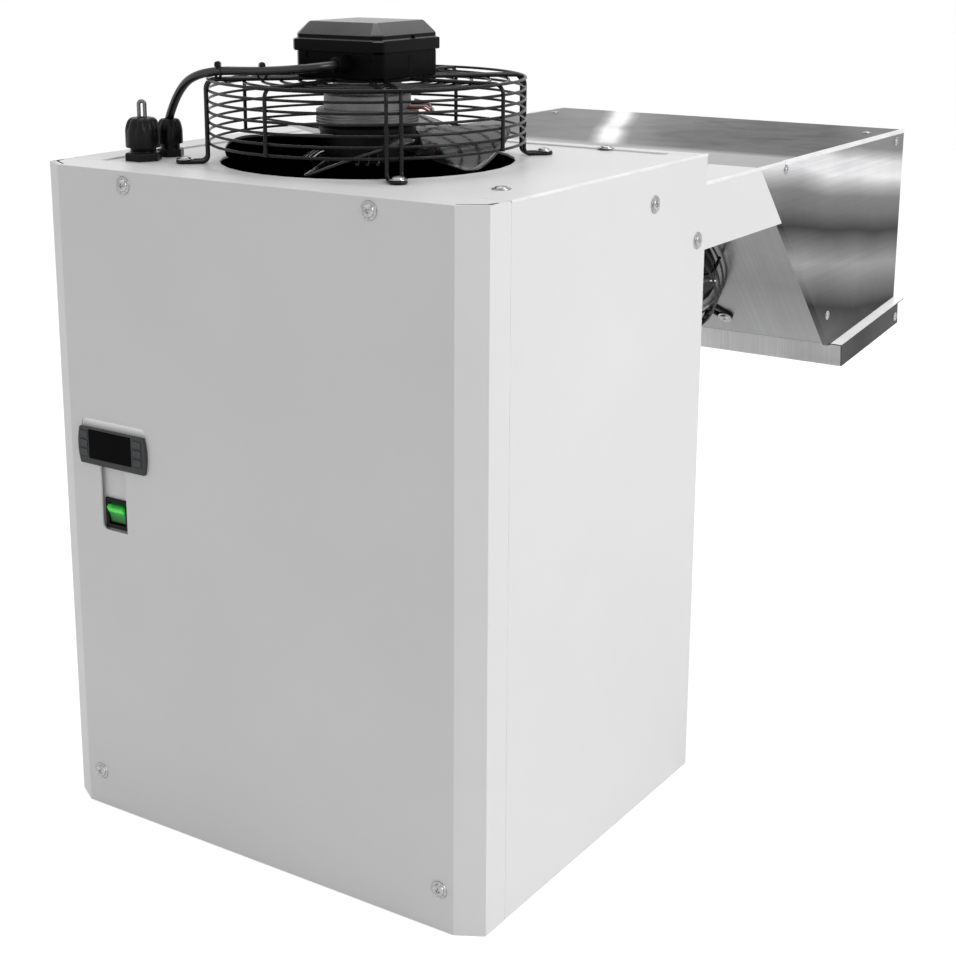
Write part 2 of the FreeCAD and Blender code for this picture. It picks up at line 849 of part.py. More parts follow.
def guard_hoops(name, height, low, pitch, side_hoops):
    """The side hoops, flat against the ribs from inside, and the face hoops, flat under them."""
    wire = size("hoop_wire")
    outer = size("guard_radius - hoop_weld")
    top = size(f"{height} - rib_wire")
    hoops = []
    for number in range(side_hoops):
        level = size(f"{low} + {number} * {pitch}")
        hoops.append(hoop([(outer, level), (outer, level + wire), (outer - wire, level + wire / 2)]))
    for number in range(FACE_HOOPS):
        radius = size(f"face_hoop_outer - {number} * face_hoop_pitch")
        hoops.append(hoop([(radius, top), (radius - wire, top), (radius - wire / 2, top - wire)]))
    made = doc.addObject("Part::Feature", name)
    made.Shape = Part.makeCompound(hoops)
    return made


def wire_guard(label, height, low, pitch, side_hoops, x, y, z, turn=None):
    """Basket guard: side hoops, face hoops, ribs with feet and the centre plate that carries the motor."""
    pieces = [
        guard_ribs(f"{label}_ribs", height),
        guard_hoops(f"{label}_hoops", height, low, pitch, side_hoops),
        prism(f"{label}_boss", LARGE_SIDES, "boss_radius", "rib_wire"),
    ]
    place(pieces[-1], "0", "0", f"{height} - rib_wire")
    return keep(place(joined(label, pieces), x, y, z, turn), label)


def blade_section(centre):
    """Section of a blade in (y, z): a thin cambered strip, pitched about the radial axis."""
    half = "blade_chord / 2"
    lower = [
        (f"-{half}", "-blade_wall / 2"),
        ("0", "blade_camber - blade_wall / 2"),
        (half, "-blade_wall / 2"),
    ]
    upper = [
        (half, "blade_wall / 2"),
        ("0", "blade_camber + blade_wall / 2"),
        (f"-{half}", "blade_wall / 2"),
    ]
    corners = []
    for along, over in lower + upper:
        y = f"({along}) * cos(blade_pitch * 1 deg) - ({over}) * sin(blade_pitch * 1 deg)"
        z = f"({along}) * sin(blade_pitch * 1 deg) + ({over}) * cos(blade_pitch * 1 deg) + {centre}"
        corners.append((y, z))
    return corners


def blade_plan(tip):
    """Plan of a blade in (x, y): narrow at the hub, wide and round at the tip, swept forwards."""
    corners = [("blade_start", "-blade_root / 2"), ("blade_start", "blade_root / 2")]
    for step in range(BLADE_TIP_STEPS + 1):
        angle = f"(blade_lead - blade_span * {step} / {BLADE_TIP_STEPS}) * 1 deg"
        corners.append((f"{tip} * cos({angle})", f"{tip} * sin({angle})"))
    return corners


def impeller(label, tip, centre, x, y, z, turn=None):
    """Fan wheel: a many-sided hub cup, bored for the motor's shaft, and five pitched blades."""
    cup = rounded_solid(f"{label}_cup", LARGE_SIDES, [("hub_radius", "hub_low"), ("hub_radius", "hub_top")])
    bore = doc.addObject("Part::Cylinder", f"{label}_bore")
    bore.setExpression("Radius", bound(FAN_HUB_BORE))
    bore.setExpression("Height", bound("hub_top"))
    place(bore, "0", "0", "hub_low + hub_floor")
    pieces = [taken(f"{label}_hub", cup, bore)]
    for number in range(BLADES):
        strip = new_body(f"{label}_strip_{number}")
        slab(strip, "x", "blade_start", f"{tip} + sheet", blade_section(centre))
        plan = new_body(f"{label}_plan_{number}")
        slab(plan, "z", "-blade_chord / 2", "blade_chord", blade_plan(tip))
        blade = doc.addObject("Part::MultiCommon", f"{label}_blade_{number}")
        blade.Shapes = [strip, plan]
        turned_to = FreeCAD.Rotation(FreeCAD.Vector(0, 0, 1), BLADE_FIRST + 360 * number / BLADES)
        blade.Placement = FreeCAD.Placement(FreeCAD.Vector(), turned_to)
        pieces.append(blade)
    return keep(place(joined(label, pieces), x, y, z, turn), label)


def fan_motor(label, height, low, step, neck, x, y, z, turn=None):
    """Stepped motor body under the guard's centre plate, with the shaft that carries the wheel."""
    body = rounded_solid(
        f"{label}_body",
        LARGE_SIDES,
        [
            ("motor_wide", low),
            ("motor_wide", step),
            ("motor_narrow", step),
            ("motor_narrow", neck),
            ("motor_stem", neck),
            ("motor_stem", f"{height} - rib_wire"),
        ],
    )
    shaft = doc.addObject("Part::Cylinder", f"{label}_shaft")
    shaft.setExpression("Radius", bound("shaft"))
    shaft.setExpression("Height", bound("shaft_length + sheet"))
    place(shaft, "0", "0", f"{low} - shaft_length")
    return keep(place(joined(label, [body, shaft]), x, y, z, turn), label)


def octagon(width, corner):
    """A square outline about the fan's axis with its corners cut off."""
    half = f"({width}) / 2"
    short = f"(({width}) / 2 - {corner})"
    ring = [(half, f"-{short}"), (half, short), (short, half), (f"-{short}", half)]
    ring += [(f"-{half}", short), (f"-{half}", f"-{short}"), (f"-{short}", f"-{half}"), (short, f"-{half}")]
    return ring


def terminal_box():
    """Base of the terminal box: an octagonal tub on the guard's centre plate."""
    owner = new_body("terminal_box")
    slab(owner, "z", "0", "term_wall", octagon("term_width", "term_corner"))
    inner = octagon("term_width - 2 * term_wall", "term_corner")
    slab(owner, "z", "term_wall", "term_height", octagon("term_width", "term_corner"), inner)
    return keep(place(owner, FAN_X, "0", f"{PLATE} + guard_height"), "terminal_box")


def terminal_lid():
    """Lid with a proud band round its foot and sloped shoulders."""
    owner = new_body("terminal_lid")
    slab(owner, "z", "0", "lid_band", octagon("term_width + 2 * lid_lip", "term_corner + lid_lip / 2"))
    top = slab(owner, "z", "lid_band", "lid_height", octagon("term_width", "term_corner"))
    doc.recompute()
    level = size("lid_height")
    rim = [
        f"Edge{index}"
        for index, edge in enumerate(top.Shape.Edges, start=1)
        if abs(edge.BoundBox.ZMin - level) < 0.01
    ]
    shoulder = owner.newObject("PartDesign::Chamfer", "terminal_lid_shoulder")
    shoulder.Base = (top, rim)
    shoulder.setExpression("Size", bound("lid_slope"))
    owner.Tip = shoulder
    return keep(place(owner, FAN_X, "0", f"{PLATE} + guard_height + term_height"), "terminal_lid")


def terminal_gland():
    """Cable gland on the front wall of the terminal box."""
    collar = "term_gland_length / 3"
    made = rounded_solid(
        "terminal_gland",
        SMALL_SIDES,
        [
            ("term_gland_radius + term_gland_collar", "0"),
            ("term_gland_radius + term_gland_collar", collar),
            ("term_gland_radius", collar),
            ("term_gland_radius", "term_gland_length - gland_chamfer"),
            ("term_gland_radius - gland_chamfer", "term_gland_length"),
        ],
    )
    x = f"{FAN_X} + term_gland_offset"
    z = f"{PLATE} + guard_height + term_gland_rise"
    return keep(place(made, x, "-term_width / 2", z, "90 deg"), "terminal_gland")


def cable_gland(label, hexagon, height, y):
    """Gland on the roof: hexagon, barrel and a domed clamping nut."""
    base = prism(f"{label}_hexagon", 6, hexagon, "gland_flange")
    barrel = f"{hexagon} * gland_barrel"
    nut = f"{hexagon} * gland_nut"
    low = "gland_flange + gland_neck"
    nut_body = rounded_solid(
        f"{label}_nut",
        SMALL_SIDES,
        [
            (barrel, "0"),
            (barrel, low),
            (nut, low),
            (nut, f"{height} - gland_dome"),
            (f"{hexagon} * gland_mouth", height),
        ],
    )
    made = joined(label, [base, nut_body])
    return keep(place(made, "-gland_row", f"-{y}", PLATE), label)


# The fan lead's route, from the terminal box to the roof gland: (x, y, height over the roof plate)
LEAD_ROUTE = [
    (-1.5, -61, 85.5),
    (-2, -86, 84.5),
    (-58, -84, 79),
    (-112, -100, 79),
    (-152, -89, 61),
    (-170, -81.5, 33),
]


def fan_lead():
    """The lead in one tube: straight runs joined by arcs as large as the runs allow."""
    roof = size(PLATE)
    stops = [FreeCAD.Vector(x, y, z + roof) for x, y, z in LEAD_ROUTE]
    gland_height = f"{PLATE} + guard_height + term_gland_rise"
    stops[0] = spot(f"{FAN_X} + term_gland_offset", "-term_width / 2 - term_gland_length", gland_height)
    stops[-1] = spot("-gland_row", "-gland_fan_y", f"{PLATE} + gland_fan_height")
    bends = []
    for before, corner, after in zip(stops, stops[1:], stops[2:]):
        half = (corner - before).getAngle(after - corner) / 2
        bends.append(0.45 * min((corner - before).Length, (after - corner).Length) / math.tan(half))
    path = run_of(stops, bends)
    made = doc.addObject("Part::Feature", "fan_lead")
    radius = size("lead") / 2
    made.Shape = bar_along(path, radius)
    return keep(made, "fan_lead")


def control_panel():
    """Recessed inner plate behind the cut-out, which carries the controller and the switch."""
    owner = new_body("control_plate")
    near = f"({FRONT} + control_recess)"
    outline = box_outline("-panel_left", "-panel_right", "panel_low", "panel_high")
    case = box_outline(*case_sides("key_clearance"))
    switch = box_outline(*switch_sides("key_clearance - switch_rim"))
    slab(owner, "y", near, f"{near} + sheet", outline, case, switch)
    for x in ("-panel_left", "-panel_right - sheet"):
        rim = box_outline(x, f"{x} + sheet", f"{FRONT} + sheet", f"{near} + sheet")
        slab(owner, "z", "panel_low", "panel_high", rim)
    return keep(owner, "control_plate")


def case_sides(grow):
    """Left, right, low and high of the controller's case, grown all round."""
    middle_x = "(-bezel_left + bezel_width / 2)"
    middle_z = "(bezel_low + bezel_height / 2)"
    return (
        f"{middle_x} - case_width / 2 - ({grow})",
        f"{middle_x} + case_width / 2 + ({grow})",
        f"{middle_z} - case_height / 2 - ({grow})",
        f"{middle_z} + case_height / 2 + ({grow})",
    )


def switch_sides(grow):
    """Left, right, low and high of the switch's rim, grown all round."""
    return (
        f"-switch_left - ({grow})",
        f"-switch_left + switch_width + ({grow})",
        f"switch_low - ({grow})",
        f"switch_low + switch_height + ({grow})",
    )


def key_places():
    """Name, left, right and low of each key: three each side of the window."""
    window_right = "(-window_left + window_width)"
    bezel_right = "(-bezel_left + bezel_width)"
    places = []
    for number in range(3):
        low = f"(key_low + {number} * key_pitch)"
        left = "(-window_left - key_margin - key_left_width)"
        places.append((f"key_left_{number + 1}", left, f"({left} + key_left_width)", low))
        left = f"({bezel_right} - key_margin * 2.6 - key_right_width)"
        places.append((f"key_right_{number + 1}", left, f"({left} + key_right_width)", low))
    return places


def controller():
    """Bezel with bowed ends, the window and key pockets, and the case behind the plate."""
    front = f"({FRONT} - bezel_proud)"
    near = f"({FRONT} + control_recess)"
    low_x, high_x = size("-bezel_left"), size("-bezel_left + bezel_width")
    low_z, high_z = size("bezel_low"), size("bezel_low + bezel_height")
    bow = size("bezel_bow")
    depth = size(front)
    at = lambda x, z: FreeCAD.Vector(x, depth, z)
    middle = (low_z + high_z) / 2
    edges = [
        Part.LineSegment(at(low_x + bow, low_z), at(high_x - bow, low_z)).toShape(),
        Part.Arc(at(high_x - bow, low_z), at(high_x, middle), at(high_x - bow, high_z)).toShape(),
        Part.LineSegment(at(high_x - bow, high_z), at(low_x + bow, high_z)).toShape(),
        Part.Arc(at(low_x + bow, high_z), at(low_x, middle), at(low_x + bow, low_z)).toShape(),
    ]
    face = Part.Face(Part.Wire(edges))
    bezel = doc.addObject("Part::Feature", "controller_bezel")
    bezel.Shape = face.extrude(FreeCAD.Vector(0, size("bezel_proud"), 0))
    left, right, low, high = case_sides("0")
    case = block("controller_body", (left, FRONT, low), (right, f"{near} + case_depth", high))
    pockets = [window_block("controller_window_pocket", "key_clearance")]
    for name, left, right, low in key_places():
        pockets.append(
            block(
                f"{name}_pocket",
                (f"{left} - key_clearance", f"{front} - 1", f"{low} - key_clearance"),
                (
                    f"{right} + key_clearance",
                    f"{front} + key_depth + key_travel + key_clearance",
                    f"{low} + key_height + key_clearance",
                ),
            )
        )
    solid = joined("controller_solid", [bezel, case])
    made = taken("controller_case", solid, joined("controller_pockets", pockets))
    return keep(made, "controller_case")


def window_block(name, grow):
    """The window's own space in the bezel, grown all round for its pocket."""
    front = f"({FRONT} - bezel_proud)"
    low = (f"-window_left - {grow}", front, f"window_low - {grow}")
    high = (
        f"-window_left + window_width + {grow}",
        f"{front} + window_wall",
        f"window_low + window_height + {grow}",
    )
    return block(name, low, high)


def controller_keys():
    """Six push keys, each a little below the bezel's face."""
    front = f"({FRONT} - bezel_proud)"
    for name, left, right, low in key_places():
        low_corner = (left, f"{front} - 0.3", low)
        keep(block(name, low_corner, (right, f"{front} + key_depth", f"{low} + key_height")), name)


def rocker_switch():
    """Switch housing in the plate, open in front for the rocker, with the pin that the rocker turns on."""
    owner = new_body("switch_housing")
    near = f"({FRONT} + control_recess)"
    floor = f"({near} + switch_depth / 2)"
    cavity = box_outline(*switch_sides("-switch_rim - switch_wall"))
    walls = box_outline(*switch_sides("-switch_rim"))
    slab(owner, "y", f"{near} - switch_lip", near, box_outline(*switch_sides("0")), cavity)
    slab(owner, "y", near, floor, walls, cavity)
    slab(owner, "y", floor, f"{near} + switch_depth", walls)
    left, right, _, _ = switch_sides("-switch_rim - switch_wall / 2")
    slab(owner, "x", left, right, (f"{ROCKER_FACE} + rocker_pivot", ROCKER_MIDDLE, "rocker_pin"))
    return keep(owner, "switch_housing")


def rocker():
    """Rocker with two faces that meet at a shallow valley, on a pin across the housing."""
    owner = new_body("switch_rocker")
    left, right, _, _ = switch_sides("-switch_rim - switch_wall - rocker_clearance")
    half = "rocker_length / 2"
    profile = [
        (f"{ROCKER_FACE} + 2", f"{ROCKER_MIDDLE} + {half}"),
        (f"{ROCKER_FACE} + 7", f"{ROCKER_MIDDLE} + {half}"),
        (f"{ROCKER_FACE} + 10", ROCKER_MIDDLE),
        (f"{ROCKER_FACE} + 8", f"{ROCKER_MIDDLE} - {half}"),
        (f"{ROCKER_FACE} + 5.4", f"{ROCKER_MIDDLE} - {half}"),
        (f"{ROCKER_FACE} + 3.4", ROCKER_MIDDLE),
        (ROCKER_FACE, f"{ROCKER_MIDDLE} + {half} * 0.72"),
    ]
    bore = (f"{ROCKER_FACE} + rocker_pivot", ROCKER_MIDDLE, "rocker_pin + shaft_clearance")
    slab(owner, "x", left, right, profile, bore)
    return keep(owner, "switch_rocker")


def condenser():
    """Finned coil under the fan, in a duct that hangs from the roof plate."""
    owner = new_body("condenser_coil")
    low, high = "-coil_left", "coil_right"
    middle = "(coil_low + coil_thick / 2)"
    core = (f"{middle} - coil_core / 2", f"{middle} + coil_core / 2")
    slab(owner, "z", *core, box_outline(low, high, "-coil_depth / 2", "coil_depth / 2"))
    for start, end in (("coil_low", core[0]), (core[1], "coil_low + coil_thick")):
        fin_row(owner, "z", low, high, start, end, ("-coil_depth / 2", "coil_depth / 2"))
    keep(owner, "condenser_coil")
    shroud = new_body("condenser_shroud")
    inner = box_outline(low, high, "-coil_depth / 2", "coil_depth / 2")
    outer = box_outline(
        f"{low} - end_plate",
        f"{high} + end_plate",
        "-coil_depth / 2 - end_plate",
        "coil_depth / 2 + end_plate",
    )
    slab(shroud, "z", "coil_low - end_rim", f"{ROOF} - sheet", outer, inner)
    keep(shroud, "condenser_shroud")


def pipe_section(centre, along, radius):
    """Many-sided section of a pipe, square to an axis, with its flats as far out as the radius."""
    first = FreeCAD.Vector(0, 0, 1) if abs(along.z) < 0.5 else FreeCAD.Vector(1, 0, 0)
    second = along.cross(first)
    reach = radius / math.cos(math.pi / PIPE_SIDES)
    corners = []
    for number in range(PIPE_SIDES):
        angle = math.pi * (2 * number + 1) / PIPE_SIDES
        corners.append(centre + first * (reach * math.cos(angle)) + second * (reach * math.sin(angle)))
    return Part.makePolygon(corners + corners[:1])


def bend_points(centre, from_centre, onward, radius, turn):
    """Points along a bend, which starts at from_centre and goes onward."""
    steps = math.ceil(turn / BEND_STEP)
    angles = [math.radians(turn * step / steps) for step in range(steps + 1)]
    return [centre + from_centre * (radius * math.cos(a)) + onward * (radius * math.sin(a)) for a in angles]


def mitred_tube(points, along, radius):
    """A tube of short straight lengths, each mitred to the next."""
    spine = Part.makePolygon(points)
    return spine.makePipeShell([pipe_section(points[0], along, radius)], True, False, 1)


def return_bends(label, spots, down):
    """Half rings of tube that join neighbouring runs, each standing out of an end plate at a spot."""
    shapes = []
    for centre, side in spots:
        out = FreeCAD.Vector(side, 0, 0)
        stub = out * size("end_plate")
        points = bend_points(centre + stub, down, out, size("bend_radius"), 180)
        ends = [points[0] - stub, *points, points[-1] - stub]
        shapes.append(mitred_tube(ends, out, size("tube")))
    made = doc.addObject("Part::Feature", label)
    made.Shape = Part.makeCompound(shapes)
    return keep(made, label)


def pipe(name, stops, radius):
    """A pipe along the three axes between stops, bent with one radius at each corner."""
    corners = [spot(*each) for each in stops]
    bend = size("pipe_bend")
    points = [corners[0]]
    for before, corner, after in zip(corners, corners[1:], corners[2:]):
        into = (corner - before).normalize()
        out = (after - corner).normalize()
        points += bend_points(corner + (out - into) * bend, -out, into, bend, 90)
    points.append(corners[-1])
    made = doc.addObject("Part::Feature", name)
    made.Shape = mitred_tube(points, (corners[1] - corners[0]).normalize(), size(radius))
    return made


def compressor():
    """Hermetic compressor: drawn shell with domed ends on a foot plate and four rubber grommets."""
    foot = "(sheet + grommet_height)"
    half = "(comp_foot / 2)"
    base = f"({foot} + comp_plate)"
    plate = block("compressor_foot", (f"-{half}", f"-{half}", foot), (half, half, base))
    shell = rounded_solid(
        "compressor_shell",
        LARGE_SIDES,
        [
            ("comp_radius - comp_foot_dome", base),
            ("comp_radius", f"{base} + comp_foot_dome"),
            ("comp_radius", f"{base} + comp_height - comp_dome"),
            ("comp_crown", f"{base} + comp_height"),
        ],
    )
    keep(place(joined("compressor", [plate, shell]), "comp_x", "comp_y", "0"), "compressor")
    grommets = []
    inset = f"({half} - grommet_radius)"
    for number, (side, end) in enumerate(((-1, -1), (1, -1), (1, 1), (-1, 1))):
        rubber = prism(f"grommet_{number}", SMALL_SIDES, "grommet_radius", "grommet_height")
        grommets.append(place(rubber, f"comp_x + {side} * {inset}", f"comp_y + {end} * {inset}", "sheet"))
    keep(together("compressor_grommets", grommets), "compressor_grommets")
    cap = block(
        "compressor_cap",
        ("comp_x - cap_width / 2", "comp_y - comp_radius - cap_reach", f"{base} + cap_low"),
        ("comp_x + cap_width / 2", "comp_y - comp_radius + cap_seat", f"{base} + cap_low + cap_height"),
    )
    seat = [(f"comp_radius + {SLIP}", base), (f"comp_radius + {SLIP}", f"{base} + comp_height")]
    shell = rounded_solid("compressor_cap_seat", LARGE_SIDES, seat)
    place(shell, "comp_x", "comp_y", "0")
    keep(taken("compressor_terminal_cap", cap, shell), "compressor_terminal_cap")


def receiver():
    """Upright liquid receiver on the floor, with its ends drawn in."""
    made = rounded_solid(
        "receiver",
        LARGE_SIDES,
        [
            ("receiver_crown", "sheet"),
            ("receiver_radius", "sheet + receiver_dome"),
            ("receiver_radius", "receiver_height - receiver_dome"),
            ("receiver_crown", "receiver_height"),
        ],
    )
    keep(place(made, "-receiver_x", "receiver_y", "0"), "receiver")


def saddle():
    """White channel over the wall panel, cut to the slant of the evaporator, with its foam core."""
    owner = new_body("saddle_cover")
    slant_at_low = f"({SLANT_TOP} + saddle_height * tan({SLANT_ANGLE}))"
    side = [(REAR, SADDLE_LOW), (slant_at_low, SADDLE_LOW), (SLANT_TOP, "saddle_top"), (REAR, "saddle_top")]
    for low, high in ((f"-{EVAP_HALF}", f"-{EVAP_HALF} + sheet"), (f"{EVAP_HALF} - sheet", EVAP_HALF)):
        slab(owner, "x", low, high, side)
    top = box_outline(f"-{EVAP_HALF}", EVAP_HALF, REAR, SLANT_TOP)
    slab(owner, "z", "saddle_top - sheet", "saddle_top", top)
    keep(owner, "saddle_cover")
    foam = new_body("saddle_foam")
    inner = f"({EVAP_HALF} - sheet)"
    tunnel = box_outline("-tunnel_left", "-tunnel_right", "tunnel_sill", "tunnel_sill + tunnel_height")
    outline = box_outline(f"-{inner}", inner, SADDLE_LOW, "saddle_top - sheet")
    slab(foam, "y", REAR, f"{REAR} + wall_panel", outline, tunnel)
    keep(foam, "saddle_foam")


def evaporator_side(label, side):
    """Stainless side: a four-cornered sheet with a narrow flange along the slant and one at the far end."""
    owner = new_body(label)
    outer = f"{side} * {EVAP_HALF}"
    inner = f"{side} * ({EVAP_HALF} - steel)"
    outline = [
        (SLANT_TOP, "saddle_top"),
        (EVAP_FAR, "saddle_top"),
        (EVAP_FAR, f"{EVAP_LOW} + tray_rise"),
        (SLANT_LOW, EVAP_LOW),
    ]
    slab(owner, "x", *between(inner, outer), outline)
    along = f"steel / cos({SLANT_ANGLE})"
    notch = "(saddle_height + seam)"
    start = f"{SLANT_TOP} + {notch} * tan({SLANT_ANGLE})"
    strip = [
        (start, f"saddle_top - {notch}"),
        (f"{start} + {along}", f"saddle_top - {notch}"),
        (f"{SLANT_LOW} + {along}", EVAP_LOW),
        (SLANT_LOW, EVAP_LOW),
    ]
    slab(owner, "x", *between(f"{side} * ({EVAP_HALF} - steel - slant_flange)", inner), strip)
    low = f"{EVAP_LOW} + tray_rise"
    end = box_outline(f"{EVAP_FAR} - steel", EVAP_FAR, low, "saddle_top - evap_flange - steel")
    slab(owner, "x", *between(f"{side} * ({EVAP_HALF} - steel - evap_flange)", inner), end)
    return keep(owner, label)


def between(one, other):
    """Two expressions, the lower one first."""
    return sorted((one, other), key=size)


def evaporator_top():
    """Stainless lid between the sides, with flanges down the sides and the far end."""
    owner = new_body("evaporator_top")
    half = f"({EVAP_HALF} - steel - {SLIP})"
    under = "(saddle_top - steel)"
    low = f"({under} - evap_flange)"
    start = f"({SLANT_TOP} + 3 * steel)"
    slab(owner, "z", under, "saddle_top", box_outline(f"-{half}", half, SLANT_TOP, EVAP_FAR))
    outline = [
        (start, under),
        (f"{EVAP_FAR} - steel", under),
        (f"{EVAP_FAR} - steel", low),
        (f"{start} + evap_flange * tan({SLANT_ANGLE}) + slant_flange", low),
    ]
    for side in (-1, 1):
        slab(owner, "x", *between(f"{side} * {half}", f"{side} * ({half} - steel)"), outline)
    slab(owner, "y", f"{EVAP_FAR} - steel", EVAP_FAR, box_outline(f"-{half}", half, low, under))
    return keep(owner, "evaporator_top")


def fan_plate():
    """Slanted sheet with the fan's hole and a slot for the pipes. Its own Y axis points up the slant."""
    owner = new_body("evaporator_fan_plate")
    half = f"({EVAP_HALF} - 2 * steel - 2 * {SLIP})"
    low = f"-({SLANT_LENGTH} - evap_fan_drop - 1)"
    outline = box_outline(f"-{half}", half, low, "evap_fan_drop - 5 * steel")
    pipes = f"((tunnel_sill + tunnel_height / 2 - {EVAP_FAN_Z}) / cos({SLANT_ANGLE}))"
    reach = f"(suction_pipe / cos({SLANT_ANGLE}) + pipe_slot_margin)"
    slot = box_outline(
        "-drier_x - thin_pipe - pipe_slot_margin",
        "-suction_x + suction_pipe + pipe_slot_margin",
        f"{pipes} - {reach}",
        f"{pipes} + {reach}",
    )
    hole = many_sided("0", "evap_hole")
    slab(owner, "z", "-2 * steel", "-steel", outline, hole, slot)
    slab(owner, "z", "-2 * steel - evap_collar", "-2 * steel", many_sided("0", "evap_hole + steel"), hole)
    return keep(place(owner, "0", EVAP_FAN_Y, EVAP_FAN_Z, EVAP_TURN), "evaporator_fan_plate")


def fin_row(owner, across, low, high, start, end, other):
    """Fins across a coil block: one thin slab repeated along X."""
    ends = box_outline(low, f"{low} + fin_wall", *other)
    fin = slab(owner, across, start, end, ends)
    count = int(size(f"({high} - ({low}) - fin_wall) / fin_pitch"))
    row = owner.newObject("PartDesign::LinearPattern", f"{owner.Name}_fins")
    row.Originals = [fin]
    row.Direction = (origin_feature(owner, "X_Axis"), [""])
    row.setExpression("Length", bound(f"{count} * fin_pitch"))
    row.Occurrences = count + 1
    owner.Tip = row


def evaporator_coil():
    """Upright finned coil at the outlet end, with its end plates."""
    owner = new_body("evaporator_coil")
    half = "(evap_coil_width / 2)"
    rear = f"({EVAP_FAR} - evap_coil_inset)"
    front = f"({rear} - evap_coil_back)"
    middle = f"(({rear} + {front}) / 2)"
    core = (f"{middle} - coil_core / 2", f"{middle} + coil_core / 2")
    slab(owner, "y", *core, box_outline(f"-{half}", half, "evap_coil_low", "evap_coil_high"))
    for start, end in ((front, core[0]), (core[1], rear)):
        fin_row(owner, "y", f"-{half}", half, start, end, ("evap_coil_low", "evap_coil_high"))
    keep(owner, "evaporator_coil")
    plates = []
    for side, name in ((-1, "left"), (1, "right")):
        low, high = between(f"{side} * {half}", f"{side} * ({half} + end_plate)")
        start = (low, f"{front} - evap_plate_over", "evap_coil_low - evap_plate_under")
        end = (high, f"{rear} + evap_plate_over", "saddle_top - steel")
        plates.append(block(f"evaporator_plate_{name}", start, end))
    keep(together("evaporator_coil_plates", plates), "evaporator_coil_plates")


def drip_tray():
    """Stainless tray that falls towards the cabinet: a floor with its far wall, an end and two sides.

    The sides carry the flanges that turn in to the housing."""
    outer = "(tray_width / 2)"
    inner = f"({outer} - steel)"
    far = f"({TRAY_RUN} / cos({TRAY_TILT}) - tray_far)"
    low = "(-tray_wall_height)"
    start = "(tray_near + steel)"
    owner = new_body("drip_tray")
    outline = box_outline(f"-{inner}", inner, start, far)
    slab(owner, "z", low, f"{low} + steel", outline, ("0", "spout_inset", "spout_bore"))
    wall = box_outline(f"-{inner}", inner, f"{far} - steel", far)
    slab(owner, "z", f"{low} + steel", "0", wall)
    lip = box_outline(f"-{inner}", inner, f"{far} - steel", f"{far} + tray_far / 2")
    slab(owner, "z", "-steel", "0", lip)
    end = new_body("tray_end")
    slab(end, "z", low, "0", box_outline(f"-{inner}", inner, "tray_near", start))
    pieces = [owner, end]
    for label, side in (("tray_side_left", -1), ("tray_side_right", 1)):
        sheet_side = new_body(label)
        wall = between(f"{side} * {inner}", f"{side} * {outer}")
        slab(sheet_side, "z", low, "0", box_outline(*wall, "tray_near", far))
        flange = between(f"{side} * {EVAP_HALF}", f"{side} * {outer}")
        slab(sheet_side, "z", "0", "steel", box_outline(*flange, "tray_near", f"{far} + tray_far - 1"))
        pieces.append(sheet_side)
    for piece in pieces:
        keep(place(piece, "0", SLANT_LOW, EVAP_LOW, TRAY_TILT), piece.Label)


def check_and_write():
    """Stops on any failed object, then writes one STEP file for each sub-part."""
    doc.recompute()
    failed = [each.Label for each in doc.Objects if {"Invalid", "Error"} & set(each.State)]
    for made in parts:
        if made.Shape.isNull() or not made.Shape.isValid() or not made.Shape.Solids:
            failed.append(made.Label)
    if failed:
        raise RuntimeError("failed objects: " + ", ".join(failed))
    os.makedirs("parts", exist_ok=True)
    for made in parts:
        made.Shape.exportStep(f"parts/{made.Label}.step")
    print(len(parts), "sub-parts written")


def condenser_bends():
    """Return bends at both ends of the condenser, half a pitch apart."""
    level = size("coil_low + coil_thick / 2")
    pitch = size("bend_pitch")
    left, right = size("-coil_left - end_plate"), size("coil_right + end_plate")
    rows = int(size("bend_rows"))
    spots = [(FreeCAD.Vector(left, pitch * (number - (rows - 1) / 2), level), -1) for number in range(rows)]
    spots += [
        (FreeCAD.Vector(right, pitch * (number - (rows - 2) / 2), level), 1)
        for number in range(rows - 1)
    ]
    return_bends("condenser_bends", spots, FreeCAD.Vector(0, -1, 0))


def evaporator_bends():
    """Return bends at the left end of the evaporator coil."""
    y = size(f"{EVAP_FAR} - evap_coil_inset - evap_coil_back / 2")
    x = size("-evap_coil_width / 2 - end_plate")
    low = size("evap_coil_low + evap_bend_low")
    levels = [low + size("evap_bend_pitch") * number for number in range(int(size("evap_bend_count")))]
    spots = [(FreeCAD.Vector(x, y, level), -1) for level in levels]
    return_bends("evaporator_bends", spots, FreeCAD.Vector(0, 0, -1))


